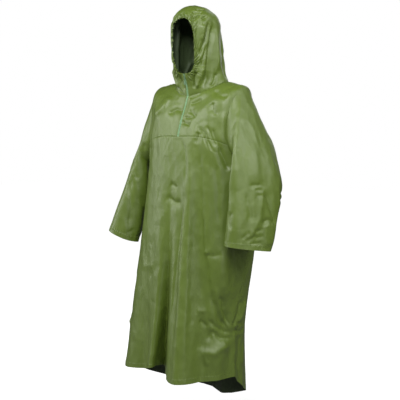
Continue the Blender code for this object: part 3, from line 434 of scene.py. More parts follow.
class Noise:
    """Smooth seeded noise over points."""

    corners = 256
    gain = 1.6

    def __init__(self, seed: int) -> None:
        """Draw the slopes at the corners of the noise's cells."""
        source = np.random.default_rng(seed)
        self.order = np.tile(source.permutation(self.corners), 3)
        self.slopes = unit(source.normal(size=(self.corners, 3)))

    def at(self, points: Array, size: float | tuple[float, float, float]) -> Array:
        """Return noise from about -1 to 1.

        Args:
            points: Points, in rows of three numbers.
            size: The size of a cell, or its sizes along X, Y and Z.

        Returns:
            A number for each point.
        """
        spot = points / np.asarray(size, float)
        cell = np.floor(spot).astype(int)
        part = spot - cell
        ease = part ** 3 * (part * (part * 6 - 15) + 10)
        total = np.zeros(points.shape[:-1])
        for corner in np.ndindex(2, 2, 2):
            key = (cell + corner) & (self.corners - 1)
            index = self.order[self.order[self.order[key[..., 0]] + key[..., 1]] + key[..., 2]]
            share = np.prod(np.where(corner, ease, 1 - ease), axis=-1)
            total += share * np.sum((part - corner) * self.slopes[index], axis=-1)
        return total * self.gain


class Line:
    """A crease or a seam as close points on the cloth, with its direction and its side."""

    chunk = 6000

    def __init__(self, points: Array, normals: Array) -> None:
        """Work out the line's lengths and directions.

        Args:
            points: Its points.
            normals: The cloth's normals there.
        """
        self.points = points
        self.places = distances(points)
        self.length = self.places[-1]
        self.heading = unit(np.gradient(points, axis=0))
        self.left = unit(np.cross(normals, self.heading))

    def near(self, points: Array, reach: float) -> tuple[Array, Array, Array, Array]:
        """Find the points within reach of the line.

        Args:
            points: Points in rows of three numbers.
            reach: The furthest distance.

        Returns:
            Their indices, their signed distances, positive on the left, how far along the line
            they are, and how far past its ends.
        """
        low, high = self.points.min(0) - reach, self.points.max(0) + reach
        found = np.flatnonzero(np.all((points > low) & (points < high), axis=1))
        kept, sides, places, past = [], [], [], []
        for start in range(0, len(found), self.chunk):
            index = found[start:start + self.chunk]
            spot = points[index]
            square = (spot ** 2).sum(1)[:, None] + (self.points ** 2).sum(1) - 2 * spot @ self.points.T
            closest = square.argmin(1)
            offset = spot - self.points[closest]
            forward = np.sum(offset * self.heading[closest], axis=1)
            across = np.sqrt(np.maximum((offset ** 2).sum(1) - forward ** 2, 0))
            sign = np.where(np.sum(offset * self.left[closest], axis=1) < 0, -1.0, 1.0)
            place = self.places[closest] + forward
            beyond = np.maximum(np.maximum(-place, place - self.length), 0)
            fits = np.hypot(across, beyond) < reach
            kept.append(index[fits])
            sides.append((across * sign)[fits])
            places.append(place[fits])
            past.append(beyond[fits])
        if not kept:
            nothing = np.zeros(0)
            return nothing.astype(int), nothing, nothing, nothing
        return tuple(np.concatenate(part) for part in (kept, sides, places, past))


def traced(path: Sequence[tuple[float, float]], surface: Surface, normal: Surface) -> Line:
    """Return the smooth line on a surface through a few places.

    Args:
        path: The places, in the surface's two parameters.
        surface: The surface's points.
        normal: The surface's normals.

    Returns:
        The line, with a point about every 1.6 mm.
    """
    knots = np.array(path, float)
    rough = surface(knots[:, 0], knots[:, 1])
    lengths = distances(rough)
    table = Table("a b", [("", at, *knot) for at, knot in zip(lengths, knots)])
    spots = table.at(np.linspace(0, lengths[-1], max(6, round(lengths[-1] / 0.0016))))
    return Line(surface(spots["a"], spots["b"]), normal(spots["a"], spots["b"]))


class Relief:
    """What stands out of one form's cloth: its creases and its crumple."""

    waver, waver_size = 0.0035, 0.045
    long_height, short_height, fine_height = 0.0019, 0.0015, 0.0004

    def __init__(self, creases: Sequence[Crease], surface: Surface, normal: Surface, seed: int) -> None:
        """Lay the creases on the surface."""
        self.lines = [(crease, traced(crease.path, surface, normal)) for crease in creases]
        self.noise = Noise(seed)
        self.warp = [Noise(seed + 1 + axis) for axis in range(3)]

    def creases(self, points: Array) -> Array:
        """Return how far the creases move each point out.

        Args:
            points: Points of the form, in rows of three numbers.

        Returns:
            A height for each point.
        """
        waver = np.stack([noise.at(points, self.waver_size) for noise in self.warp], -1)
        points = points + waver * self.waver
        total = np.zeros(len(points))
        for crease, line in self.lines:
            reach = 2.6 * max(crease.left, crease.right)
            index, side, place, past = line.near(points, reach)
            wide = np.where(side > 0, crease.left, crease.right)
            away = np.hypot(side / wide, past / (0.5 * (crease.left + crease.right)))
            taper = np.ones_like(place)
            if crease.start:
                taper = taper * smooth(place / (crease.start * line.length) + 0.25)
            if crease.end:
                taper = taper * smooth((line.length - place) / (crease.end * line.length) + 0.25)
            total[index] += crease.height * taper * np.exp(0.30 - (away ** 2 + 0.16) ** 0.65)
        return total

    def crumple(self, points: Array) -> Array:
        """Return the height of the fine uneven creases that the coated cloth keeps.

        Args:
            points: Points of the form, in rows of three numbers.

        Returns:
            A height for each point.
        """
        long = 1 - 2.4 * np.abs(self.noise.at(points, (0.075, 0.075, 0.30)))
        short = np.exp(-np.abs(self.noise.at(points + 3.1, (0.050, 0.050, 0.080))) / 0.22)
        fine = np.exp(-np.abs(self.noise.at(points + 7.7, (0.026, 0.026, 0.036))) / 0.25)
        patch = smooth(0.5 + 1.3 * self.noise.at(points + 5.2, (0.11, 0.11, 0.16)))
        rough = self.short_height * short * (0.2 + 0.8 * patch)
        return self.long_height * long - rough + self.fine_height * fine


@dataclass
class SeamLine:
    """A sewn seam, as a groove with puckers on both sides of it."""

    line: Line
    groove: float = 0.0010
    groove_width: float = 0.0022
    pucker: float = 0.0010
    wave: float = 0.015
    reach: float = 0.012

    def fade(self, points: Array, reach: float) -> Array:
        """Return 0 on the seam, rising to 1 at the reach."""
        fade = np.ones(len(points))
        index, side, _, past = self.line.near(points, reach)
        fade[index] = smooth(np.hypot(side, past) / reach)
        return fade

    def height(self, points: Array) -> Array:
        """Return the height of the seam's groove and puckers.

        Args:
            points: Points of the form, in rows of three numbers.

        Returns:
            A height for each point.
        """
        total = np.zeros(len(points))
        index, side, place, past = self.line.near(points, 2.5 * self.reach)
        away = np.hypot(side, past)
        phase = 2 * math.pi * place / self.wave + 1.7 * np.sin(place * 61) + 1.1 * np.sin(place * 143)
        uneven = 0.55 + 0.45 * np.sin(place * 37 + 1)
        total[index] = self.pucker * uneven * np.sin(phase) * np.exp(-(away / self.reach) ** 1.5)
        total[index] -= self.groove * np.exp(-(away / self.groove_width) ** 2)
        return total


class Body:
    """The form of the poncho's body, from the neck seam to the hem.

    z_* are a ring's heights at the front, sides and back, then come its half widths to the
    wearer's right and left, its depths to the front and back and its squareness. dip_* say how
    soon its height leaves the side's.
    """

    rings = Table("z_front z_side z_back right left front back square dip_front dip_right dip_left", [
        ("neck", 0.000, -0.035, 0.024, 0.028, 0.124, 0.124, 0.088, 0.096, 2.0, 1.1, 1.5, 1.5),
        ("base", 0.040, -0.062, 0.019, 0.002, 0.156, 0.156, 0.099, 0.115, 2.1, 1.2, 1.5, 1.5),
        ("shoulder", 0.085, -0.095, 0.011, -0.035, 0.192, 0.192, 0.112, 0.130, 2.2, 1.3, 1.5, 1.5),
        ("tip", 0.125, -0.128, 0.000, -0.080, 0.225, 0.225, 0.126, 0.138, 2.3, 1.4, 1.6, 1.6),
        ("bust", 0.210, -0.203, -0.150, -0.188, 0.238, 0.238, 0.150, 0.145, 2.4, 2.0, 2.0, 2.0),
        ("underarm", 0.330, -0.330, -0.310, -0.325, 0.243, 0.243, 0.163, 0.150, 2.4, 2.0, 2.0, 2.0),
        ("waist", 0.500, -0.500, -0.488, -0.500, 0.256, 0.246, 0.172, 0.153, 2.5, 2.0, 1.6, 1.8),
        ("hip", 0.680, -0.680, -0.680, -0.690, 0.280, 0.243, 0.185, 0.150, 2.5, 2.0, 1.2, 1.6),
        ("thigh", 0.900, -0.900, -0.900, -0.940, 0.319, 0.205, 0.205, 0.143, 2.4, 2.0, 0.8, 1.2),
        ("knee", 1.050, -1.055, -1.050, -1.120, 0.343, 0.187, 0.225, 0.148, 2.3, 2.0, 0.6, 1.0),
        ("hem", 1.205, -1.215, -1.205, -1.325, 0.366, 0.180, 0.245, 0.158, 2.3, 2.0, 0.4, 0.8),
    ])
    folds = {name: Table("angle depth wide_right wide_left", rows) for name, rows in {
        "flat_front_right": [
            ("waist", 0.500, -50, 0.000, 0.060, 0.060),
            ("hip", 0.680, -45, -0.006, 0.060, 0.060),
            ("thigh", 0.900, -42, -0.020, 0.070, 0.070),
            ("hem", 1.205, -40, -0.055, 0.090, 0.070),
        ],
        "deep_valley": [
            ("underarm", 0.330, -8, 0.000, 0.030, 0.030),
            ("waist", 0.500, -10, -0.006, 0.024, 0.022),
            ("hip", 0.680, -11, -0.022, 0.022, 0.024),
            ("thigh", 0.900, -12, -0.048, 0.022, 0.030),
            ("hem", 1.205, -12.5, -0.095, 0.025, 0.046),
        ],
        "front_ridge": [
            ("bust", 0.250, 19, 0.000, 0.020, 0.030),
            ("waist", 0.420, 20, 0.006, 0.015, 0.030),
            ("hip", 0.680, 18, 0.012, 0.016, 0.034),
            ("thigh", 0.900, 17, 0.018, 0.020, 0.040),
            ("hem", 1.205, 16, 0.026, 0.026, 0.050),
        ],
        "left_hollow": [
            ("waist", 0.450, 34, 0.000, 0.030, 0.030),
            ("hip", 0.680, 36, -0.010, 0.035, 0.035),
            ("thigh", 0.900, 42, -0.018, 0.045, 0.040),
            ("hem", 1.205, 42, -0.020, 0.050, 0.040),
        ],
        "seam_pull": [
            ("hip", 0.600, 60, 0.000, 0.030, 0.030),
            ("thigh", 0.780, 62, 0.010, 0.030, 0.030),
            ("pull", 0.990, 70, -0.010, 0.040, 0.020),
            ("knee", 1.090, 62, 0.012, 0.050, 0.030),
            ("hem", 1.205, 60, 0.006, 0.050, 0.030),
        ],
        "back_right_ridge": [
            ("waist", 0.500, -140, 0.000, 0.040, 0.040),
            ("thigh", 0.900, -138, 0.016, 0.040, 0.040),
            ("hem", 1.205, -136, 0.030, 0.050, 0.050),
        ],
        "back_middle_hollow": [
            ("waist", 0.450, 180, 0.000, 0.050, 0.050),
            ("hip", 0.680, 178, -0.010, 0.045, 0.045),
            ("hem", 1.205, 176, -0.022, 0.050, 0.050),
        ],
        "back_left_ridge": [
            ("waist", 0.500, 146, 0.000, 0.040, 0.040),
            ("thigh", 0.900, 144, 0.010, 0.035, 0.035),
            ("hem", 1.205, 142, 0.016, 0.035, 0.035),
        ],
    }.items()}
    # The deep valley's floor runs on under the front's right panel, to the back and to the right.
    tuck = Table("angle back aside wide_right wide_left", [
        ("hip", 0.680, -11, 0.000, 0.000, 0.020, 0.030),
        ("thigh", 0.900, -12, 0.010, 0.020, 0.020, 0.032),
        ("hem", 1.205, -12.5, 0.036, 0.066, 0.024, 0.040),
    ])
    lift_angles = (-90, -60, -40, -18, -2, 6)
    lift_heights = (0.0, 0.004, 0.018, 0.046, 0.014, 0.0)
    lift_from, lift_over = 0.900, 0.305
    cut_front, cut_back = -24.0, 22.0

    @classmethod
    def fold_depth(cls, angle: Array, place: Array, radius: Array) -> Array:
        """Return how far the skirt's folds move it out.

        Args:
            angle: Angles round the body.
            place: Places down it.
            radius: Its radius there.

        Returns:
            A distance for each place.
        """
        total = np.zeros_like(radius)
        for fold in cls.folds.values():
            row = fold.at(place)
            total = total + row["depth"] * bell(row, angle, radius)
        return total

    @classmethod
    def point(cls, angle: Array, place: Array) -> Array:
        """Return points of the body.

        Args:
            angle: Angles round the body, 0 at the front and positive to the left.
            place: Places down it.

        Returns:
            The points.
        """
        angle, place = paired(angle, place)
        ring = cls.rings.at(place)
        half = np.where(np.sin(angle) > 0, ring["left"], ring["right"])
        depth = np.where(np.cos(angle) > 0, ring["front"], ring["back"])
        square = ring["square"]
        radius = oval(angle, half, depth, square)
        out_x = np.sign(np.sin(angle)) * np.abs(np.sin(angle)) ** (square - 1) / half ** square
        out_y = -np.sign(np.cos(angle)) * np.abs(np.cos(angle)) ** (square - 1) / depth ** square
        out = unit(np.stack([out_x, out_y, np.zeros_like(out_x)], -1))
        low = np.clip((place - cls.lift_from) / cls.lift_over, 0, 1) ** 2
        turn = (np.degrees(angle) + 180) % 360 - 180
        lift = np.interp(turn, cls.lift_angles, cls.lift_heights) * low
        dip_back = np.where(np.sin(angle) > 0, ring["dip_left"], ring["dip_right"])
        height = ring_height(ring, angle, dip_back) + lift
        point = np.stack([radius * np.sin(angle), -radius * np.cos(angle), height], -1)
        point = point + out * cls.fold_depth(angle, place, radius)[..., None]
        return point + cls.tucked(angle, place, radius)

    @classmethod
    def tucked(cls, angle: Array, place: Array, radius: Array) -> Array:
        """Return how the deep valley's floor moves on behind the panel beside it."""
        row = cls.tuck.at(place)
        share = bell(row, angle, radius)
        return np.stack([-row["aside"] * share, row["back"] * share, np.zeros_like(share)], -1)

    @classmethod
    def normal(cls, angle: Array, place: Array) -> Array:
        """Return the body's outward normals."""
        return surface_normal(cls.point, angle, np.maximum(place, STEP), -1)

    @staticmethod
    def armhole_place(turn: Array) -> Array:
        """Return the place down the body of an armhole's point, by its turn from the top."""
        return TIP + (UNDERARM - TIP) * (0.5 - 0.5 * np.cos(turn))

    @staticmethod
    def armhole_angle(place: Array, cut: float) -> Array:
        """Return the angle of an armhole's edge, 90 degrees above and below it."""
        part = np.clip((place - TIP) / (UNDERARM - TIP), 0, 1)
        open_part = np.clip(1 - np.abs(2 * part - 1) ** 2.2, 0, 1) ** 0.62
        return np.radians(90 + cut * open_part)

    @classmethod
    def row_end(cls, place: float, cut: float) -> float:
        """Return the angle at which one row meets the armhole."""
        return float(cls.armhole_angle(np.array(place), cut))

    @classmethod
    def armhole(cls, turn: Array, side: Side) -> tuple[Array, Array]:
        """Return the angle and place of an armhole. The turn is 0 on top, a quarter in front."""
        turn = np.mod(np.asarray(turn, float), 2 * math.pi)
        place = cls.armhole_place(turn)
        front = cls.armhole_angle(place, cls.cut_front)
        angle = np.where(turn <= math.pi, front, cls.armhole_angle(place, cls.cut_back))
        return side.value * angle, place

    @classmethod
    def zip_angle(cls, place: Array, across: Array) -> Array:
        """Return the angle at a distance beside the body's front."""
        return across / cls.rings.at(place)["front"]


class Sleeve:
    """The form of a sleeve, from the armhole at 0 to the cuff.

    A ring has its centre, half widths across the thin and the wide way, the height of its outer
    edge over its centre, of its front edge over its centre, its turn in degrees, its squareness.
    """

    columns = "x y z thin wide rise tilt turn square"
    rings = {
        Side.LEFT: Table(columns, [
            ("armhole", 0.00, 0.2340, 0.008, -0.1500, -0.0090, 0.0925, 0.1500, 0.000, 0, 2.0),
            ("cap", 0.10, 0.2650, 0.000, -0.2075, -0.0010, 0.1050, 0.1075, 0.000, 0, 2.0),
            ("upper arm", 0.20, 0.2880, -0.012, -0.2700, 0.0170, 0.1170, 0.0700, 0.000, 5, 2.1),
            ("biceps", 0.30, 0.3045, -0.022, -0.3450, 0.0395, 0.1240, 0.0450, 0.000, 10, 2.2),
            ("elbow", 0.42, 0.3150, -0.034, -0.4400, 0.0545, 0.1220, 0.0200, 0.000, 18, 2.4),
            ("forearm", 0.54, 0.3170, -0.060, -0.5450, 0.0550, 0.1100, 0.0030, 0.004, 24, 2.6),
            ("cuff", 0.65, 0.3120, -0.083, -0.6520, 0.0520, 0.0950, -0.0020, 0.012, 30, 2.8),
        ]),
        Side.RIGHT: Table(columns, [
            ("armhole", 0.00, 0.2340, 0.008, -0.1500, -0.0090, 0.0925, 0.1500, 0.000, 0, 2.0),
            ("cap", 0.10, 0.2600, 0.008, -0.2075, -0.0020, 0.1000, 0.1075, 0.000, 0, 2.0),
            ("upper arm", 0.20, 0.2760, 0.006, -0.2650, 0.0040, 0.1000, 0.0750, 0.000, 2, 2.1),
            ("biceps", 0.30, 0.2920, -0.002, -0.3350, 0.0215, 0.1030, 0.0500, 0.000, 6, 2.2),
            ("elbow", 0.42, 0.3220, -0.018, -0.4250, 0.0420, 0.1130, 0.0270, 0.000, 14, 2.4),
            ("forearm", 0.54, 0.3540, -0.045, -0.5300, 0.0540, 0.1100, 0.0220, 0.000, 22, 2.6),
            ("cuff", 0.65, 0.3790, -0.075, -0.6350, 0.0570, 0.0980, 0.0240, -0.004, 28, 2.8),
        ]),
    }
    cap_blend = 0.20

    def __init__(self, side: Side) -> None:
        """Choose the side."""
        self.side = side

    def ring(self, place: Array, turn: Array) -> Array:
        """Return the points of the sleeve's own rings.

        Args:
            place: Places down the sleeve.
            turn: Turns round it, 0 on top and a quarter at the front.

        Returns:
            The points.
        """
        ring = self.rings[self.side].at(place)
        square = ring["square"]
        radius = (np.abs(np.cos(turn)) ** square + np.abs(np.sin(turn)) ** square) ** (-1 / square)
        out = np.cos(turn) * radius
        ahead = np.sin(turn) * radius
        yaw = np.radians(ring["turn"])
        x = ring["x"] + out * ring["thin"] * np.cos(yaw) - ahead * ring["wide"] * np.sin(yaw)
        y = ring["y"] - out * ring["thin"] * np.sin(yaw) - ahead * ring["wide"] * np.cos(yaw)
        z = ring["z"] + out * ring["rise"] + ahead * ring["tilt"]
        return np.stack([self.side.value * x, y, z], -1)

    def point(self, turn: Array, place: Array) -> Array:
        """Return points of the sleeve. The turn is 0 on top, a quarter at the front."""
        turn, place = paired(turn, place)
        point = self.ring(place, turn)
        share = smooth(1 - place / self.cap_blend)[..., None]
        start = self.ring(np.zeros_like(place), turn)
        return point + share * (Body.point(*Body.armhole(turn, self.side)) - start)

    def normal(self, turn: Array, place: Array) -> Array:
        """Return the sleeve's outward normals."""
        return surface_normal(self.point, turn, np.maximum(place, STEP), self.side.value)


class Hood:
    """The form of the hood, from the neck seam at 0 to the crown at 1."""

    rings = Table("z_front z_side z_back middle half front back square dip_front", [
        ("neck", 0.00, -0.035, 0.024, 0.028, 0.000, 0.124, 0.088, 0.096, 2.0, 1.1),
        ("throat", 0.10, 0.000, 0.050, 0.055, -0.004, 0.110, 0.090, 0.095, 2.1, 1.5),
        ("chin", 0.25, 0.055, 0.085, 0.095, -0.012, 0.104, 0.100, 0.098, 2.3, 2.0),
        ("cheek", 0.42, 0.120, 0.130, 0.140, -0.022, 0.104, 0.102, 0.098, 2.5, 2.0),
        ("temple", 0.60, 0.210, 0.210, 0.210, -0.032, 0.101, 0.100, 0.100, 2.5, 2.0),
        ("brow", 0.76, 0.270, 0.270, 0.265, -0.035, 0.096, 0.093, 0.092, 2.5, 2.0),
        ("crown edge", 0.90, 0.318, 0.312, 0.300, -0.036, 0.072, 0.070, 0.070, 2.3, 2.0),
        ("crown", 0.96, 0.336, 0.333, 0.325, -0.036, 0.042, 0.042, 0.040, 2.1, 2.0),
        ("top", 1.00, 0.343, 0.343, 0.340, -0.036, 0.002, 0.002, 0.002, 2.0, 2.0),
    ])
    face_centre, face_half_width, face_half_height = -0.469, 0.296, 0.272
    face_square, face_flare = 2.24, 0.37
    crown_end = -0.10
    chin = 0.257
    seam_bow = 0.16

    def __init__(self, side: Side, zip_edge: float, neck_angles: Array) -> None:
        """Choose the side, and where the hood's half starts beside the zip.

        Args:
            side: The wearer's side.
            zip_edge: Distance of the cloth's edge from the zip's middle.
            neck_angles: Angles round the neck seam, from the zip to the middle of the back.
        """
        self.side = side
        ring = self.rings.at(np.array(self.chin))
        corner = self.face_half_width * (1 + self.face_flare)
        self.start = math.asin(float(zip_edge / ring["front"] * (1 - self.chin) / corner))
        neck = np.stack([np.sin(neck_angles), -np.cos(neck_angles)], -1)
        rise = np.linspace(1, self.crown_end, 15)[1:]
        seam = np.stack([np.zeros_like(rise), rise], -1)
        self.edge = np.concatenate([neck, seam])
        self.neck_end = (len(neck) - 1) / (len(self.edge) - 1)

    @classmethod
    def form(cls, angle: Array, place: Array) -> Array:
        """Return points of the hood as if it had no face opening."""
        angle, place = paired(angle, place)
        ring = cls.rings.at(place)
        depth = np.where(np.cos(angle) > 0, ring["front"], ring["back"])
        radius = oval(angle, ring["half"], depth, ring["square"])
        height = ring_height(ring, angle, 1.5)
        return np.stack([radius * np.sin(angle), ring["middle"] - radius * np.cos(angle), height], -1)

    @classmethod
    def form_normal(cls, angle: Array, place: Array) -> Array:
        """Return the outward normals of the hood's form."""
        return surface_normal(cls.form, angle, np.clip(place, STEP, 1 - STEP), 1)

    @classmethod
    def rim(cls, turn: Array) -> Array:
        """Return points of the face opening on the disk inside the neck seam. The turn is 0 at the zip."""
        radius = oval(turn, 1.0, 1.0, cls.face_square)
        across, down = radius * np.sin(turn), radius * np.cos(turn)
        return np.stack([cls.face_half_width * across * (1 + cls.face_flare * down),
                         cls.face_centre - cls.face_half_height * down], -1)

    def point(self, part: Array, row: Array) -> Array:
        """Return points of this half of the hood.

        Args:
            part: 0 at the zip, along the face opening, to 1 at the brow.
            row: 0 at the face opening to 1 at the neck and centre seams.

        Returns:
            The points.
        """
        part, row = paired(part, row)
        knots = np.linspace(0, 1, len(self.edge))
        edge = np.stack([np.interp(part, knots, self.edge[:, axis]) for axis in (0, 1)], -1)
        rim = self.rim(self.start + (math.pi - self.start) * part)
        spot = rim * (1 - row)[..., None] + edge * row[..., None]
        bow = self.seam_bow * np.sin(math.pi * part) * row * (1 - row)
        spot = spot + np.stack([bow, np.zeros_like(bow)], -1)
        angle = np.arctan2(spot[..., 0], -spot[..., 1])
        point = self.form(angle, 1 - np.hypot(spot[..., 0], spot[..., 1]))
        return point * np.array([self.side.value, 1, 1])

    def normal(self, part: Array, row: Array) -> Array:
        """Return the outward normals of this half."""
        part = np.clip(np.asarray(part, float), STEP, 1 - STEP)
        return surface_normal(self.point, part, np.clip(row, STEP, 1 - STEP), -self.side.value)


class Value:
    """An output of a node, on which Python's operators add Math nodes."""

    def __init__(self, board: "Board", socket: bpy.types.NodeSocket) -> None:
        """Wrap the socket."""
        self.board = board
        self.socket = socket

    def _math(self, operation: str, other: "Value | float") -> "Value":
        """Add one Math node."""
        return self.board.value("ShaderNodeMath", {"operation": operation}, {0: self, 1: other})

    def __add__(self, other: "Value | float") -> "Value":
        """Return the sum."""
        return self._math("ADD", other)

    __radd__ = __add__

    def __mul__(self, other: "Value | float") -> "Value":
        """Return the product."""
        return self._math("MULTIPLY", other)

    __rmul__ = __mul__


class Board:
    """The node tree of one material."""

    # How far apart a wave texture's bands are at a scale of 1.
    band = 0.314

    def __init__(self, name: str) -> None:
        """Make an empty material with its shader and output."""
        self.material = bpy.data.materials.new(name)
        self.material.use_nodes = True
        self.tree = self.material.node_tree
        self.shader = self.tree.nodes["Principled BSDF"]

    def node(self, kind: str, settings: dict[str, object],
             inputs: dict[str | int, object]) -> bpy.types.Node:
        """Add a node.

        Args:
            kind: The node's type.
            settings: Its properties, set first.
            inputs: Values or outputs for its sockets.

        Returns:
            The node.
        """
        node = self.tree.nodes.new(kind)
        for name, setting in settings.items():
            setattr(node, name, setting)
        for name, given in inputs.items():
            if isinstance(given, Value):
                self.tree.links.new(given.socket, node.inputs[name])
            else:
                node.inputs[name].default_value = given
        return node

    def value(self, kind: str, settings: dict[str, object], inputs: dict[str | int, object],
              output: str | int = 0) -> Value:
        """Add a node and return one of its outputs."""
        return Value(self, self.node(kind, settings, inputs).outputs[output])

    def mix(self, share: Value, first: Sequence[float], second: Sequence[float]) -> Value:
        """Return a colour between two colours."""
        settings = {"data_type": "RGBA"}
        return self.value("ShaderNodeMix", settings, {0: share, 6: (*first, 1), 7: (*second, 1)}, 2)

    def noise(self, place: Value, size: float, detail: float = 3.0) -> Value:
        """Return noise from 0 to 1 with cells of a size in metres."""
        return self.value("ShaderNodeTexNoise", {}, {"Vector": place, "Scale": 1 / size, "Detail": detail})

    def creased(self, place: Value, size: float) -> Value:
        """Return the height of facets of a size in metres, with soft straight creases between."""
        inputs = {"Vector": place, "Scale": 1 / size, "Smoothness": 0.3}
        return self.value("ShaderNodeTexVoronoi", {"feature": "SMOOTH_F1"}, inputs, "Distance")

    def stretched(self, place: Value, scale: tuple[float, float, float]) -> Value:
        """Return coordinates scaled along each axis."""
        return self.value("ShaderNodeMapping", {}, {"Vector": place, "Scale": scale})

    def threads(self, place: Value, pitch: float, way: str) -> Value:
        """Return the height of threads that run one way on the piece's own map."""
        settings = {"wave_type": "BANDS", "bands_direction": way, "wave_profile": "SIN"}
        return self.value("ShaderNodeTexWave", settings, {"Vector": place, "Scale": self.band / pitch})

    def bump(self, height: Value, distance: float, under: Value | None = None) -> Value:
        """Return normals raised by a height, over those of an earlier bump."""
        inputs: dict[str | int, object] = {"Height": height, "Distance": distance}
        if under is not None:
            inputs["Normal"] = under
        return self.value("ShaderNodeBump", {}, inputs)

    def finish(self, links: dict[str, Value], values: dict[str, object]) -> bpy.types.Material:
        """Feed the shader and return the material."""
        for name, given in links.items():
            self.tree.links.new(given.socket, self.shader.inputs[name])
        for name, given in values.items():
            self.shader.inputs[name].default_value = given
        return self.material


@dataclass(frozen=True)
class ClothFinish:
    """Coated plain-weave cloth."""

    name: str
    colour: tuple[float, float, float]
    shade: tuple[float, float, float]
    roughness: float
    sheen: float = 0.0
    coat: float = 0.0
    crinkle: float = 0.0042
    weave: float = 0.00004

    def make(self) -> bpy.types.Material:
        """Return the material, with its mottle, crinkles and weave."""
        board = Board(self.name)
        place = board.value("ShaderNodeTexCoord", {}, {}, "Object")
        thread = board.value("ShaderNodeUVMap", {"uv_map": "cloth"}, {})
        mottle = board.noise(board.stretched(place, (1, 1, 0.45)), 0.09, 4)
        fine = board.noise(board.stretched(place, (1, 1, 0.7)), 0.012, 3)
        creased = board.creased(board.stretched(place, (1, 1, 0.55)), 0.034)
        crossing = board.threads(thread, 0.0006, "X") * board.threads(thread, 0.0006, "Y")
        base = board.mix(mottle * 0.7 + crossing * 0.15, self.colour, self.shade)
        rough = mottle * 0.10 + fine * 0.06 + (self.roughness - 0.08)
        normal = board.bump(creased, self.crinkle)
        normal = board.bump(fine, self.crinkle * 0.14, normal)
        normal = board.bump(crossing, self.weave, normal)
        return board.finish({"Base Color": base, "Roughness": rough, "Normal": normal},
                            {"Sheen Weight": self.sheen, "Coat Weight": self.coat, "Coat Roughness": 0.46,
                             "Specular IOR Level": 0.55})


@dataclass(frozen=True)
class TrimFinish:
    """Woven tape, thread, or moulded and lacquered trim."""

    name: str
    colour: tuple[float, float, float]
    shade: tuple[float, float, float]
    roughness: float
    grain: float = 0.0008
    raise_by: float = 0.00006
    metallic: float = 0.0
    weave: float = 0.0

    def make(self) -> bpy.types.Material:
        """Return the material, with its grain."""
        board = Board(self.name)
        place = board.value("ShaderNodeTexCoord", {}, {}, "Object")
        grain = board.noise(place, self.grain, 2)
        wear = board.noise(place, self.grain * 12, 3)
        base = board.mix(wear, self.colour, self.shade)
        normal = board.bump(grain, self.raise_by)
        if self.weave:
            thread = board.value("ShaderNodeUVMap", {"uv_map": "cloth"}, {})
            ribs = board.threads(thread, 0.0007, "X") + board.threads(thread, 0.0009, "Y") * 0.6
            normal = board.bump(ribs, self.weave, normal)
        return board.finish({"Base Color": base, "Roughness": grain * 0.12 + (self.roughness - 0.06),
                             "Normal": normal}, {"Metallic": self.metallic})


@dataclass
class Finishes:
    """Every material of the poncho."""

    outer: bpy.types.Material = field(default_factory=ClothFinish(
        "olive coated cloth", (0.152, 0.224, 0.032), (0.112, 0.172, 0.015), 0.46, coat=0.55).make)
    # The inner face's colour is partly its own coated green and partly painted shade: it is set dark to
    # stand in for the shadow inside the hood, the sleeves and under the hem.
    inner: bpy.types.Material = field(default_factory=ClothFinish(
        "coated inner face with painted shade", (0.062, 0.094, 0.036), (0.048, 0.076, 0.028), 0.60, weave=0.00002).make)
    tape: bpy.types.Material = field(default_factory=TrimFinish(
        "zip tape", (0.330, 0.560, 0.300), (0.270, 0.470, 0.250), 0.62, weave=0.0001).make)
    coil: bpy.types.Material = field(default_factory=TrimFinish(
        "zip coil", (0.400, 0.650, 0.370), (0.330, 0.560, 0.310), 0.38, raise_by=0.00001).make)
    slider: bpy.types.Material = field(default_factory=TrimFinish(
        "lacquered slider", (0.210, 0.350, 0.200), (0.165, 0.280, 0.155), 0.34, raise_by=0.00001,
        metallic=0.25).make)
    thread: bpy.types.Material = field(default_factory=TrimFinish(
        "sewing thread", (0.120, 0.180, 0.030), (0.090, 0.140, 0.020), 0.55, grain=0.0004).make)


class Edge(Enum):
    """An edge of a panel's grid."""

    TOP = "first row"
    BOTTOM = "last row"
    START = "first column"
    END = "last column"


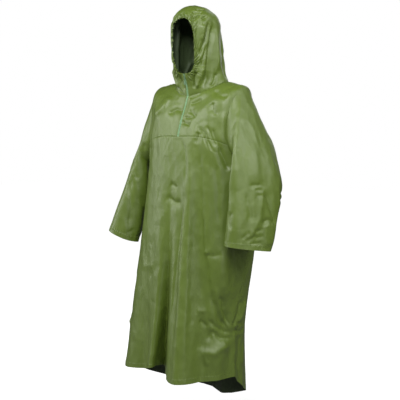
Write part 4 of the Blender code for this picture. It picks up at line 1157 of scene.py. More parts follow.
class Cloth:
    """One panel of cloth, a closed thin wall on a grid of points."""

    crisp = math.radians(50)

    def __init__(self, name: str, points: Array, normals: Array, half: Array | float,
                 wrap: bool = False) -> None:
        """Keep the panel's grid.

        Args:
            name: The piece's name.
            points: Rows of columns of points in the middle of the cloth.
            normals: Outward normals, or the shared direction where two panels meet.
            half: Half the wall's thickness at each point.
            wrap: Whether each row closes on itself.
        """
        self.name = name
        half = np.broadcast_to(half, points.shape[:2])[..., None]
        self.outer = points + normals * half
        self.inner = points - normals * half
        self.wrap = wrap
        self.map = self.measure(points)

    def measure(self, points: Array) -> Array:
        """Return each point's place on the flat cloth.

        Args:
            points: Rows of columns of points.

        Returns:
            How far along its row and down its column each point is, in metres.
        """
        if self.wrap:
            points = np.concatenate([points, points[:, :1]], axis=1)
        along = np.linalg.norm(np.diff(points, axis=1), axis=2)
        down = np.linalg.norm(np.diff(points, axis=0), axis=2)
        along = np.concatenate([np.zeros((len(points), 1)), np.cumsum(along, axis=1)], axis=1)
        down = np.concatenate([np.zeros((1, points.shape[1])), np.cumsum(down, axis=0)], axis=0)
        return np.stack([along, down], -1)

    def beside(self, edge: Edge, distance: float) -> tuple[Array, Array]:
        """Return the points of a line on the outer face beside an edge, and the ways out of the cloth.

        Args:
            edge: The edge.
            distance: How far from it, in metres.

        Returns:
            The points and the unit directions.
        """
        outer, inner = self.outer, self.inner
        away = self.map[:, :outer.shape[1], 1]
        if edge in (Edge.START, Edge.END):
            outer, inner = outer.swapaxes(0, 1), inner.swapaxes(0, 1)
            away = self.map[:, :, 0].T
        if edge in (Edge.BOTTOM, Edge.END):
            outer, inner, away = outer[::-1], inner[::-1], (away[-1:] - away)[::-1]
        column = np.arange(outer.shape[1])
        row = np.clip((away <= distance).sum(0) - 1, 0, len(outer) - 2)
        step = np.maximum(away[row + 1, column] - away[row, column], 1e-9)
        share = np.clip((distance - away[row, column]) / step, 0, 1)[:, None]
        point = outer[row, column] * (1 - share) + outer[row + 1, column] * share
        under = inner[row, column] * (1 - share) + inner[row + 1, column] * share
        return point, unit(point - under)

    def quads(self) -> tuple[Array, Array, int]:
        """Work out the faces of the outer side, the inner side and the rims.

        Returns:
            Their corners, the corners' places on the flat cloth, and how many are on one side.
        """
        rows, columns = self.outer.shape[:2]
        count = rows * columns
        ends = columns if self.wrap else columns - 1
        row, column = np.meshgrid(np.arange(rows - 1), np.arange(ends), indexing="ij")
        row, column = row.ravel(), column.ravel()
        corners = [(row, column), (row + 1, column), (row + 1, column + 1), (row, column + 1)]
        face = np.stack([r * columns + c % columns for r, c in corners], 1)
        spot = np.stack([self.map[r, c] for r, c in corners], 1)
        index = np.arange(count).reshape(rows, columns)
        edges = [index[0], index[-1][::-1]]
        if self.wrap:
            edges = [np.append(edge, edge[0]) for edge in edges]
        else:
            edges += [index[::-1, 0], index[:, -1]]
        rim = np.concatenate([np.stack([edge[:-1], edge[:-1] + count, edge[1:] + count, edge[1:]], 1)
                              for edge in edges])
        middle = (rows // 2, columns // 2)
        across = self.outer[middle[0], (middle[1] + 1) % columns] - self.outer[middle]
        downward = self.outer[middle[0] + 1, middle[1]] - self.outer[middle]
        if np.dot(np.cross(downward, across), self.outer[middle] - self.inner[middle]) < 0:
            face, spot, rim = face[:, ::-1], spot[:, ::-1], rim[:, ::-1]
        faces = np.concatenate([face, face[:, ::-1] + count, rim])
        flat = self.map[:, :columns].reshape(-1, 2)
        return faces, np.concatenate([spot, spot[:, ::-1], flat[rim % count]]), len(face)

    def build(self, materials: tuple[bpy.types.Material, bpy.types.Material]) -> bpy.types.Object:
        """Build the panel.

        Args:
            materials: The finishes of its outer and its inner face.

        Returns:
            The panel as an object.
        """
        faces, spots, side = self.quads()
        points = np.concatenate([self.outer.reshape(-1, 3), self.inner.reshape(-1, 3)])
        mesh = bpy.data.meshes.new(self.name)
        mesh.vertices.add(len(points))
        mesh.vertices.foreach_set("co", points.astype(np.float32).ravel())
        mesh.loops.add(faces.size)
        mesh.loops.foreach_set("vertex_index", faces.astype(np.int32).ravel())
        mesh.polygons.add(len(faces))
        mesh.polygons.foreach_set("loop_start", np.arange(0, faces.size, 4, dtype=np.int32))
        kind = np.zeros(len(faces), np.int32)
        kind[side:2 * side] = 1
        for material in materials:
            mesh.materials.append(material)
        mesh.polygons.foreach_set("material_index", kind)
        mesh.update(calc_edges=True)
        mesh.uv_layers.new(name="cloth").data.foreach_set("uv", spots.astype(np.float32).ravel())
        mesh.shade_smooth()
        mesh.set_sharp_from_angle(angle=self.crisp)
        mesh.validate()
        return added(self.name, mesh)


@dataclass
class Shell:
    """Sizes that every panel of cloth shares, and the ways to dress its grid."""

    wall: float = 0.0007
    hem: float = 0.020
    hem_wall: float = 0.0018
    hem_ease: float = 0.0014
    above_hem: float = 0.006
    wave_height: float = 0.0010
    wave_length: float = 0.013
    wave_reach: float = 0.011
    lap_height: float = 0.0010
    lap_width: float = 0.0045
    lap_ease: float = 0.006
    hem_rows: tuple[float, ...] = (0.0240, 0.0222, 0.0212, 0.0204, 0.0197, 0.0190, 0.0180, 0.0150,
                                   0.0110, 0.0070, 0.0035, 0.0015, 0.0)

    def banded(self, from_edge: Array, band: float, ease: float) -> Array:
        """Return half the wall's thickness, more on the band where the cloth is turned over."""
        turned = smooth((band - from_edge) / ease + 0.5)
        return (self.wall + (self.hem_wall - self.wall) * turned) / 2

    def lap(self, from_edge: Array) -> Array:
        """Return how far the cloth's edge is raised where it lies on the zip's tape."""
        return self.lap_height * smooth(1 - (from_edge - self.lap_width) / self.lap_ease)

    def hem_waves(self, from_edge: Array, length: Array, noise: Noise, points: Array) -> Array:
        """Return the height of the small puckers that a hem's stitches draw in the cloth.

        Args:
            from_edge: Distances from the cloth's edge.
            length: Lengths along the hem.
            noise: The cloth's noise.
            points: The points themselves.

        Returns:
            A height for each point.
        """
        row = np.exp(-(np.abs(from_edge - self.hem) / self.wave_reach) ** 1.4)
        uneven = 0.6 + 0.7 * noise.at(points, 0.05)
        phase = 2 * math.pi * length / self.wave_length + 3 * noise.at(points, 0.03)
        return self.wave_height * uneven * np.sin(phase) * row


@dataclass
class Panels:
    """The body's yokes, front and back."""

    shell: Shell = field(default_factory=Shell)
    zip_edge: float = 0.0046
    yoke_seam_front: float = 0.210
    yoke_turn: float = math.pi * 7 / 11
    yoke_wide: float = 0.226
    yoke_step: float = 0.0028
    front_wide: float = 0.36
    front_step: float = 0.0036
    worn_places: tuple[float, ...] = (0.0, 0.14, 0.24, 0.5, 1.0, HEM)
    worn_shares: tuple[float, ...] = (1.0, 1.0, 0.7, 0.65, 0.8, 1.0)
    relief: Relief = field(init=False)
    yoke_side: float = field(init=False)
    seams: list[SeamLine] = field(init=False)
    joins: list[SeamLine] = field(init=False)

    def __post_init__(self) -> None:
        """Lay out the creases and the seams."""
        self.relief = Relief(BODY_CREASES, in_degrees(Body.point), in_degrees(Body.normal), 5)
        self.yoke_side = float(Body.armhole_place(np.array(self.yoke_turn)))
        self.seams = [self.seam(*self.yoke_seam())]
        for side in Side:
            places = np.linspace(UNDERARM, HEM, 220)
            self.seams.append(self.seam(np.full_like(places, side.value * math.pi / 2), places))
            places = np.linspace(NECK, TIP, 32)
            self.seams.append(self.seam(np.full_like(places, side.value * math.pi / 2), places))
        self.joins = [self.seam(*Body.armhole(np.linspace(0, 2 * math.pi, 160), side)) for side in Side]
        turn = np.linspace(-math.pi, math.pi, 200)
        self.joins.append(self.seam(turn, np.zeros_like(turn)))

    @staticmethod
    def seam(angle: Array, place: Array) -> SeamLine:
        """Return the seam through places of the body."""
        return SeamLine(Line(Body.point(angle, place), Body.normal(angle, place)))

    def yoke_seam(self) -> tuple[Array, Array]:
        """Return the angles and places of the yoke's seam, from armhole to armhole."""
        limit = Body.row_end(self.yoke_side, Body.cut_front)
        angle = np.linspace(-limit, limit, 110)
        return angle, self.front_places(self.yoke_side, np.abs(angle) / limit)

    def front_places(self, place: float, share: Array) -> Array:
        """Return the places along a front row, which is named by its place at the armhole."""
        knots = (TIP, self.yoke_side, UNDERARM)
        middle = place
        if TIP < place < UNDERARM:
            middle = float(np.interp(place, knots, (TIP, self.yoke_seam_front, UNDERARM)))
        return place + (middle - place) * (1 - share ** 2)

    def front_angles(self, place: float, columns: Array) -> Array:
        """Return the angles of a front row's columns on one side, from the zip's edge."""
        limit = Body.row_end(place, Body.cut_front)
        start = float(Body.zip_angle(self.front_places(place, np.array(0.0)), self.zip_edge))
        return start + (limit - start) * columns

    def neck_angles(self) -> Array:
        """Return angles round the neck seam, from the zip to the middle of the back."""
        even = np.linspace(0, 1, 15)
        front = self.front_angles(NECK, 0.72 * even + 0.28 * even ** 2)
        limit = Body.row_end(NECK, Body.cut_back)
        return np.concatenate([front, limit + (math.pi - limit) * np.linspace(0, 1, 11)[1:]])

    def heights(self, points: Array, place: Array) -> Array:
        """Return how far the body's cloth stands out of its form.

        Args:
            points: The form's points.
            place: Their places.

        Returns:
            A height for each point.
        """
        shape = points.shape[:-1]
        flat = points.reshape(-1, 3)
        worn = np.interp(place, self.worn_places, self.worn_shares).ravel()
        height = self.relief.creases(flat) + self.relief.crumple(flat) * worn
        for seam in self.seams:
            height += seam.height(flat)
        for seam in self.joins:
            height *= seam.fade(flat, 0.012)
        return height.reshape(shape)

    def panel(self, name: str, rows: Sequence[tuple[Array, Array]], hemmed: bool, lap: bool) -> Cloth:
        """Return one panel of the body.

        Args:
            name: The piece's name.
            rows: Each row's angles and places.
            hemmed: Whether its last row is the hem.
            lap: Whether its first column lies on the zip's tape.

        Returns:
            The panel.
        """
        angle = np.stack([row[0] for row in rows])
        place = np.stack([row[1] for row in rows])
        form = Body.point(angle, place)
        near = Body.normal(angle, place)
        points = form + near * self.heights(form, place)[..., None]
        half: Array | float = self.shell.wall / 2
        if hemmed:
            from_edge = HEM - place
            half = self.shell.banded(from_edge, self.shell.hem, self.shell.hem_ease)
            waves = self.shell.hem_waves(from_edge, angle * 0.25, self.relief.noise, form)
            points = points + near * waves[..., None]
        if lap:
            beside = np.linalg.norm(points - points[:, :1], axis=-1)
            points = points + near * self.shell.lap(beside)[..., None]
        normals = grid_normal(points, near, False)
        for end in (0, -1):
            if abs(place[end].max()) < 1e-9:
                hood = Hood.form_normal(angle[end], np.zeros_like(angle[end]))
                normals[end] = unit(near[end] + hood)
        return Cloth(name, points, normals, half)

    def levels(self) -> tuple[Array, Array]:
        """Return the places of the rows above the yoke's seam and of those below it."""
        beside = np.array(BESIDE_SEAM)
        above = np.linspace(NECK, TIP, 45)[:-1]
        turns = spread(self.yoke_turn, 0.036)[:-1]
        upper = [above, Body.armhole_place(turns), self.yoke_side - beside, [self.yoke_side]]
        turns = np.linspace(self.yoke_turn, math.pi, 34)
        chest = np.concatenate([self.yoke_side + beside, Body.armhole_place(turns)])
        skirt = np.linspace(UNDERARM, HEM - self.shell.hem - self.shell.above_hem, 176)[1:]
        lower = [chest, skirt, HEM - np.array(self.shell.hem_rows)]
        return np.unique(np.concatenate(upper)), np.unique(np.concatenate(lower))

    def build(self) -> list[Cloth]:
        """Return the two yokes, the front and the back."""
        upper, lower = self.levels()
        pieces = []
        yoke_columns = spread(self.yoke_wide, self.yoke_step, True) / self.yoke_wide
        for side in Side:
            rows = []
            for place in upper:
                angles = self.front_angles(place, yoke_columns)
                rows.append((side.value * angles, self.front_places(place, angles / angles[-1])))
            pieces.append(self.panel(f"yoke_{side.word}_cloth", rows, False, True))
        rows = []
        front_columns = spread(self.front_wide, self.front_step) / self.front_wide
        for place in lower:
            angles = self.front_angles(place, front_columns)
            middle = np.array([-0.33, 0.33]) * angles[0]
            row = np.concatenate([-angles[::-1], middle, angles])
            rows.append((row, self.front_places(place, np.abs(row) / angles[-1])))
        pieces.append(self.panel("front_cloth", rows, True, False))
        rows = []
        part = np.linspace(0, 1, 62)
        for place in np.unique(np.concatenate([upper, lower])):
            limit = Body.row_end(place, Body.cut_back)
            left = limit + (math.pi - limit) * part
            row = np.concatenate([left, (2 * math.pi - left)[::-1][1:]])
            rows.append((row, np.full_like(row, place)))
        pieces.append(self.panel("back_cloth", rows, True, False))
        return pieces


@dataclass
class SleeveCloth:
    """One sleeve, a tube of cloth from the armhole to the hemmed cuff."""

    side: Side
    shell: Shell = field(default_factory=Shell)
    columns: int = 144

    def build(self) -> Cloth:
        """Return the sleeve."""
        form = Sleeve(self.side)
        relief = Relief(SLEEVE_CREASES[self.side], in_degrees(form.point), in_degrees(form.normal),
                        20 + 10 * self.side.value)
        turns = np.linspace(0, 2 * math.pi, self.columns + 1)[:-1]
        last = CUFF - self.shell.hem - self.shell.above_hem
        main = np.linspace(0, last, 136) ** 1.08
        places = np.concatenate([main / main[-1] * last, CUFF - np.array(self.shell.hem_rows)])
        turn, place = np.meshgrid(turns, places)
        points = form.point(turn, place)
        near = form.normal(turn, place)
        flat = points.reshape(-1, 3)
        height = relief.creases(flat) + relief.crumple(flat) * 0.9
        height = height.reshape(place.shape) * smooth(place / 0.014)
        from_edge = CUFF - place
        height = height + self.shell.hem_waves(from_edge, turn * 0.08, relief.noise, points) * 1.6
        points = points + near * height[..., None]
        normals = grid_normal(points, near, True)
        angle, down = Body.armhole(turns, self.side)
        normals[0] = unit(near[0] + Body.normal(angle, down))
        half = self.shell.banded(from_edge, self.shell.hem, self.shell.hem_ease)
        return Cloth(f"sleeve_{self.side.word}_cloth", points, normals, half, wrap=True)


@dataclass
class HoodCloth:
    """One half of the hood, gathered along the casing of the face opening."""

    side: Side
    zip_edge: float
    neck_angles: Array
    shell: Shell = field(default_factory=Shell)
    casing: float = 0.017
    casing_ease: float = 0.0016
    beside_zip: tuple[float, ...] = (0.0016, 0.0036, 0.0060)
    gather_count: int = 25
    gather_height: float = 0.0058
    gather_lean: float = 0.42
    gather_reach: float = 0.012
    columns: int = 260
    rows: int = 82

    def gathers(self, part: Array, away: Array) -> Array:
        """Return the height of the gathers.

        Args:
            part: Share of the way along the face opening.
            away: Distance from it.

        Returns:
            A height for each point.
        """
        phase = part * self.gather_count - self.gather_lean * away / self.gather_reach
        phase = phase + 0.35 * np.sin(part * 41 + 1) + 0.22 * np.sin(part * 97)
        number = np.floor(phase + 0.25)
        uneven = 0.62 + 0.38 * np.sin(number * 2.4 + 0.6) * np.cos(number * 1.1)
        length = 0.022 + 0.012 * np.sin(number * 1.7)
        wave = np.sin(2 * math.pi * phase)
        wave = np.sign(wave) * np.abs(wave) ** 0.8
        ends = smooth(part / 0.10)
        return self.gather_height * wave * uneven * np.exp(-(away / length) ** 1.6) * ends

    def build(self) -> Cloth:
        """Return this half of the hood."""
        form = Hood(self.side, self.zip_edge, self.neck_angles)
        relief = Relief(HOOD_CREASES[self.side], form.point, form.normal, 50 + 10 * self.side.value)
        parts = np.unique(np.concatenate([np.linspace(0, 1, self.columns + 1), self.beside_zip]))
        rows = np.linspace(0, 1, self.rows + 1) ** 1.25
        part, row = np.meshgrid(parts, rows)
        points = form.point(part, row)
        near = form.normal(part, row)
        away = np.cumsum(np.linalg.norm(np.diff(points, axis=0, prepend=points[:1]), axis=2), axis=0)
        left = away[-1] - away
        flat = points.reshape(-1, 3)
        worn = (relief.creases(flat) + relief.crumple(flat) * 0.9).reshape(part.shape)
        worn = worn * smooth(left / 0.012) * smooth(away / 0.006)
        height = worn + self.gathers(part, away)
        beside = np.linalg.norm(points - points[:, :1], axis=-1)
        height = height * smooth(beside / 0.010) + self.shell.lap(beside)
        points = points + near * height[..., None]
        seam = parts >= form.neck_end - 1e-9
        points[-1, seam, 0] = 0.0
        points[:, -1, 0] = 0.0
        normals = grid_normal(points, near, False)
        flat_way = np.array([0.0, 1.0, 1.0])
        normals[:, -1] = unit(normals[:, -1] * flat_way)
        normals[-1, seam] = unit(normals[-1, seam] * flat_way)
        neck = parts < form.neck_end
        knots = np.linspace(0, form.neck_end, len(self.neck_angles))
        angle = np.interp(parts[neck], knots, self.neck_angles) * self.side.value
        zero = np.zeros_like(angle)
        normals[-1, neck] = unit(near[-1, neck] + Body.normal(angle, zero))
        half = self.shell.banded(away, self.casing, self.casing_ease)
        return Cloth(f"hood_{self.side.word}_cloth", points, normals, half)


@dataclass(frozen=True)
class Shape:
    """A small closed shape, as points and faces, to be repeated."""

    points: Array
    faces: list[tuple[int, ...]]

    @classmethod
    def taken(cls, thing: bpy.types.Object) -> "Shape":
        """Return the shape of a modelled object, which is then removed."""
        points = np.array([vertex.co for vertex in thing.data.vertices])
        faces = [tuple(polygon.vertices) for polygon in thing.data.polygons]
        bpy.data.meshes.remove(thing.data)
        return cls(points, faces)

    def repeated(self, name: str, places: Array, frames: Array,
                 material: bpy.types.Material) -> bpy.types.Object:
        """Build one object with a copy of the shape at each place.

        Args:
            name: The piece's name.
            places: A point for each copy.
            frames: Each copy's X, Y and Z directions, as rows.
            material: Its material.

        Returns:
            The object.
        """
        points = np.einsum("kj,nji->nki", self.points, frames) + places[:, None]
        start = (np.arange(len(places)) * len(self.points)).tolist()
        faces = [tuple(first + corner for corner in face) for first in start for face in self.faces]
        mesh = bpy.data.meshes.new(name)
        mesh.from_pydata(points.reshape(-1, 3).tolist(), [], faces)
        mesh.shade_smooth()
        mesh.materials.append(material)
        return added(name, mesh)


@dataclass(frozen=True)
class Bar:
    """A small rounded bar along X, such as a stitch or an element of the coil."""

    length: float
    width: float
    height: float
    sides: int = 6
    point: float = 0.22
    tip: float = 0.45

    def model(self) -> Shape:
        """Model the bar and return its shape."""
        bpy.ops.object.select_all(action="DESELECT")
        straight = self.length * (1 - 2 * self.point)
        bpy.ops.mesh.primitive_cylinder_add(vertices=self.sides, radius=0.5, depth=straight,
                                            rotation=(0, math.pi / 2, 0))
        bar = bpy.context.object
        bpy.ops.object.transform_apply(location=False, rotation=True, scale=False)
        bpy.ops.object.mode_set(mode="EDIT")
        bpy.ops.mesh.select_mode(type="FACE")
        for way in (-1, 1):
            mesh = bmesh.from_edit_mesh(bar.data)
            for face in mesh.faces:
                face.select_set(len(face.verts) == self.sides and face.normal.x * way > 0.9)
            mesh.select_flush_mode()
            bmesh.update_edit_mesh(bar.data)
            reach = way * self.length * self.point
            bpy.ops.mesh.extrude_region_move(TRANSFORM_OT_translate={"value": (reach, 0, 0)})
            end = (way * self.length / 2, 0, 0)
            bpy.ops.transform.resize(value=(1, self.tip, self.tip), center_override=end)
        bpy.ops.mesh.select_all(action="SELECT")
        bpy.ops.transform.resize(value=(1, self.width, self.height), center_override=(0, 0, 0))
        bpy.ops.mesh.normals_make_consistent(inside=False)
        bpy.ops.object.mode_set(mode="OBJECT")
        return Shape.taken(bar)


@dataclass(frozen=True)
class Block:
    """A rounded block of moulded trim, with X across, Y out of the zip and Z up."""

    middle: tuple[float, float, float]
    size: tuple[float, float, float]
    corners: float = 0.0
    edges: float = 0.00015
    narrow: float = 0.0

    def model(self, name: str) -> bpy.types.Object:
        """Model the block.

        Args:
            name: The object's name.

        Returns:
            The object.
        """
        bpy.ops.object.select_all(action="DESELECT")
        bpy.ops.mesh.primitive_cube_add(size=1, location=self.middle, scale=self.size)
        block = bpy.context.object
        block.name = name
        bpy.ops.object.transform_apply(location=True, rotation=False, scale=True)
        bpy.ops.object.mode_set(mode="EDIT")
        if self.narrow:
            bpy.ops.mesh.select_mode(type="VERT")
            mesh = bmesh.from_edit_mesh(block.data)
            for vertex in mesh.verts:
                vertex.select_set(vertex.co.z < self.middle[2])
            mesh.select_flush_mode()
            bmesh.update_edit_mesh(block.data)
            bpy.ops.transform.resize(value=(1 - self.narrow, 1, 1), center_override=self.middle)
        bpy.ops.mesh.select_mode(type="EDGE")
        for offset, turned in ((self.corners, True), (self.edges, False)):
            if not offset:
                continue
            mesh = bmesh.from_edit_mesh(block.data)
            for edge in mesh.edges:
                way = (edge.verts[0].co - edge.verts[1].co).normalized()
                sharp = edge.calc_face_angle(0) > math.radians(50)
                edge.select_set(sharp and (abs(way.y) > 0.9 or not turned))
            mesh.select_flush_mode()
            bmesh.update_edit_mesh(block.data)
            bpy.ops.mesh.bevel(offset=offset, segments=4 if turned else 2, affect="EDGES")
        bpy.ops.object.mode_set(mode="OBJECT")
        return block

    def cut_from(self, other: bpy.types.Object) -> None:
        """Cut the block's form out of another object.

        Args:
            other: The object that is cut.
        """
        cutter = self.model("cutter")
        bpy.ops.object.select_all(action="DESELECT")
        other.select_set(True)
        bpy.context.view_layer.objects.active = other
        cut = other.modifiers.new("cut", "BOOLEAN")
        cut.operation, cut.object, cut.solver = "DIFFERENCE", cutter, "EXACT"
        bpy.ops.object.modifier_apply(modifier="cut")
        bpy.data.meshes.remove(cutter.data)


def joined(name: str, parts: Sequence[bpy.types.Object], material: bpy.types.Material,
           frame_rows: Array, origin: Array) -> bpy.types.Object:
    """Join modelled parts, and place them.

    Args:
        name: The piece's name.
        parts: The parts, modelled about the origin.
        material: The piece's material.
        frame_rows: Where the parts' X, Y and Z directions go, as rows.
        origin: Where their origin goes.

    Returns:
        The piece.
    """
    bpy.ops.object.select_all(action="DESELECT")
    for part in parts:
        part.select_set(True)
    bpy.context.view_layer.objects.active = parts[0]
    if len(parts) > 1:
        bpy.ops.object.join()
    piece = parts[0]
    piece.name = name
    placed = Matrix(frame_rows.T.tolist()).to_4x4()
    placed.translation = Vector(origin)
    piece.data.transform(placed)
    piece.data.materials.clear()
    piece.data.materials.append(material)
    bpy.ops.object.shade_smooth_by_angle(angle=math.radians(35))
    return piece


@dataclass
class Zip:
    """The half zip: two woven tapes, the coil, two top stops, the slider and its pull tab."""

    panels: Panels
    finishes: Finishes
    coil_half: float = 0.0021
    tape_edge: float = 0.0062
    wall: float = 0.0007
    pitch: float = 0.00062
    slider_place: float = 0.204
    coil_top: float = 0.2095
    tape_top: float = 0.256
    plate: float = 0.0009
    front_in: float = 0.00205
    back_in: float = -0.00095
    hinge_out: float = 0.0011
    hinge_up: float = -0.0009
    element_aside: float = 0.00075
    element_out: float = 0.00042
    element_lean: float = 0.16

    def rows(self, across: Array, top: float) -> tuple[Array, Array]:
        """Return the points and normals of a strip of the zip, from the yoke's seam up.

        Args:
            across: Distances of its columns from the zip's middle.
            top: Its upper end, as a place on the hood.

        Returns:
            The points in rows, and their normals.
        """
        start = float(self.panels.front_places(self.panels.yoke_side, np.array(0.0)))
        place = np.linspace(start, 0, 96)[:, None] + 0 * across
        angle = Body.zip_angle(place, across)
        form = Body.point(angle, place)
        near = Body.normal(angle, np.maximum(place, 2 * STEP))
        body = form + near * self.panels.heights(form, place)[..., None]
        above = np.linspace(0, top, 80)[1:, None] + 0 * across
        turn = across * (1 - above) / Hood.rings.at(above)["front"]
        points = np.concatenate([body, Hood.form(turn, above)])
        ways = np.concatenate([near, Hood.form_normal(turn, above)])
        return points, grid_normal(points, ways, False)

    def strip(self, name: str, low: float, high: float, top: float) -> Cloth:
        """Return a strip of the tape between two distances from the zip's middle."""
        points, normals = self.rows(np.linspace(low, high, 6), top)
        return Cloth(name, points, normals, self.wall / 2)

    def coil(self) -> bpy.types.Object:
        """Build the coil's elements, which lock from both sides."""
        points, normals = self.rows(np.array([-0.001, 0.0, 0.001]), self.coil_top - 0.004)
        length = distances(points[:, 1])
        stops = np.arange(0.002, length[-1], self.pitch)
        middle = read_along(stops, length, points[:, 1])
        out = unit(read_along(stops, length, normals[:, 1]))
        right = unit(read_along(stops, length, points[:, 2] - points[:, 0]))
        up = unit(np.cross(out, right))
        way = np.where(np.arange(len(stops)) % 2, 1.0, -1.0)[:, None]
        lean = unit(right * way + up * self.element_lean)
        places = middle + right * way * self.element_aside + out * (self.wall / 2 + self.element_out)
        frames = np.stack([lean, unit(np.cross(out, lean)), out], 1)
        element = Bar(0.0026, 0.00066, 0.00100, sides=8, point=0.16, tip=0.6).model()
        return element.repeated("zip_coil_elements", places, frames, self.finishes.coil)

    def stand(self) -> tuple[Array, Array]:
        """Return the slider's directions, as rows, and its middle."""
        middle = Hood.form(np.array(0.0), np.array(self.slider_place))
        ends = [Hood.form(np.array(0.0), np.array(self.slider_place + step)) for step in (-0.01, 0.01)]
        up = unit(ends[1] - ends[0])
        out = np.cross(up, (-1.0, 0.0, 0.0))
        return np.stack([np.array([-1.0, 0.0, 0.0]), out, up]), middle

    def slider(self) -> bpy.types.Object:
        """Build the slider: two plates, a neck, two flanges and the bridge over the tab."""
        front = self.front_in + self.plate
        inside = self.front_in - self.back_in
        deep = self.front_in - 0.0006
        size = (0.0085, self.plate, 0.0110)
        parts = [Block((0, out - self.plate / 2, 0), size, 0.0016, 0.00028, 0.22).model(name)
                 for name, out in (("plate", front), ("back plate", self.back_in))]
        size = (0.0022, inside + 0.0004, 0.0026)
        parts.append(Block((0, self.front_in - inside / 2, 0.0042), size, 0.0005).model("neck"))
        for way in (-1, 1):
            place = (way * 0.00355, self.front_in - deep / 2 + 0.0001, 0.0005)
            parts.append(Block(place, (0.0007, deep, 0.0080), 0.0002, 0.00012).model("flange"))
        arch = Block((0, front + 0.0017, 0), (0.0028, 0.0036, 0.0070), 0, 0.0009).model("arch")
        Block((0, front + 0.0010, 0), (0.0050, 0.0024, 0.0042), 0, 0.0005).cut_from(arch)
        rows, middle = self.stand()
        return joined("zip_slider_body", [*parts, arch], self.finishes.slider, rows, middle)

    def tab(self) -> bpy.types.Object:
        """Build the pull tab, which hangs from the bridge."""
        tab = Block((0, 0, -0.01215), (0.0064, 0.0013, 0.0257), 0.0014, 0.00035, 0.13).model("tab")
        Block((0, 0, -0.00305), (0.0038, 0.0040, 0.0047), 0.0010, 0).cut_from(tab)
        for way in (-1, 1):
            Block((0, way * 0.00075, -0.0158), (0.0034, 0.0006, 0.0130), 0.0010, 0.0001).cut_from(tab)
        rows, middle = self.stand()
        hinge = middle + rows[1] * (self.front_in + self.plate + self.hinge_out) + rows[2] * self.hinge_up
        upright = np.array([[-1.0, 0.0, 0.0], [0.0, -1.0, 0.0], [0.0, 0.0, 1.0]])
        return joined("zip_pull", [tab], self.finishes.slider, upright, hinge)

    def stops(self) -> bpy.types.Object:
        """Build the two stops that close the tapes above the slider."""
        size = (0.0016, 0.0018, 0.0026)
        parts = [Block((way * 0.0016, 0.0004, 0.0086), size, 0.0003, 0.0002).model("stop")
                 for way in (-1, 1)]
        rows, middle = self.stand()
        return joined("zip_top_stops", parts, self.finishes.slider, rows, middle)


@dataclass
class Sewing:
    """The rows of stitches."""

    material: bpy.types.Material
    pitch: float = 0.0032
    ahead: float = 0.0006
    proud: float = 0.00012
    shape: Shape = field(default_factory=Bar(0.0025, 0.00055, 0.00042, sides=5).model)

    def row(self, name: str, lines: Sequence[tuple[Array, Array]]) -> bpy.types.Object:
        """Build the stitches of one seam.

        Args:
            name: The piece's name.
            lines: Points and outward directions of each line that is sewn.

        Returns:
            The stitches, joined in one object.
        """
        places, frames = [], []
        for points, ways in lines:
            length = distances(points)
            stops = np.arange(self.pitch, length[-1] - self.pitch / 2, self.pitch)
            middle = read_along(stops, length, points)
            out = unit(read_along(stops, length, ways))
            heading = unit(read_along(stops + self.ahead, length, points) - middle)
            across = unit(np.cross(out, heading))
            places.append(middle + out * self.proud)
            frames.append(np.stack([heading, across, np.cross(heading, across)], 1))
        return self.shape.repeated(name, np.concatenate(places), np.concatenate(frames), self.material)


@dataclass(frozen=True)
class Softbox:
    """A large soft light, placed round the poncho."""

    name: str
    azimuth: float
    elevation: float
    width: float
    height: float
    watts: float
    distance: float = 3.6

    def build(self, aim: Array) -> None:
        """Add the light.

        Args:
            aim: The point that it faces.
        """
        data = bpy.data.lights.new(self.name, "AREA")
        data.shape = "RECTANGLE"
        data.size, data.size_y = self.width, self.height
        data.energy = self.watts
        light = added(self.name, data)
        turn, rise = math.radians(self.azimuth), math.radians(self.elevation)
        back = np.array([math.sin(turn) * math.cos(rise), -math.cos(turn) * math.cos(rise), math.sin(rise)])
        light.location = aim + back * self.distance
        aim_at(light, -back)


def aim_at(thing: bpy.types.Object, way: Array) -> None:
    """Turn a camera or a light to face a direction."""
    thing.rotation_mode = "QUATERNION"
    thing.rotation_quaternion = Vector(way).to_track_quat("-Z", "Y")


def show_apart(tree: bpy.types.NodeTree, light: bpy.types.Node, seen: bpy.types.Node,
               out: bpy.types.Node) -> None:
    """Give an output one shader as a light and another as the camera sees it.

    Args:
        tree: The node tree.
        light: The shader that lights and is reflected.
        seen: The shader that the camera sees.
        out: The output's node.
    """
    mix = tree.nodes.new("ShaderNodeMixShader")
    ray = tree.nodes.new("ShaderNodeLightPath")
    tree.links.new(ray.outputs["Is Camera Ray"], mix.inputs[0])
    tree.links.new(light.outputs[0], mix.inputs[1])
    tree.links.new(seen.outputs[0], mix.inputs[2])
    tree.links.new(mix.outputs[0], out.inputs[0])


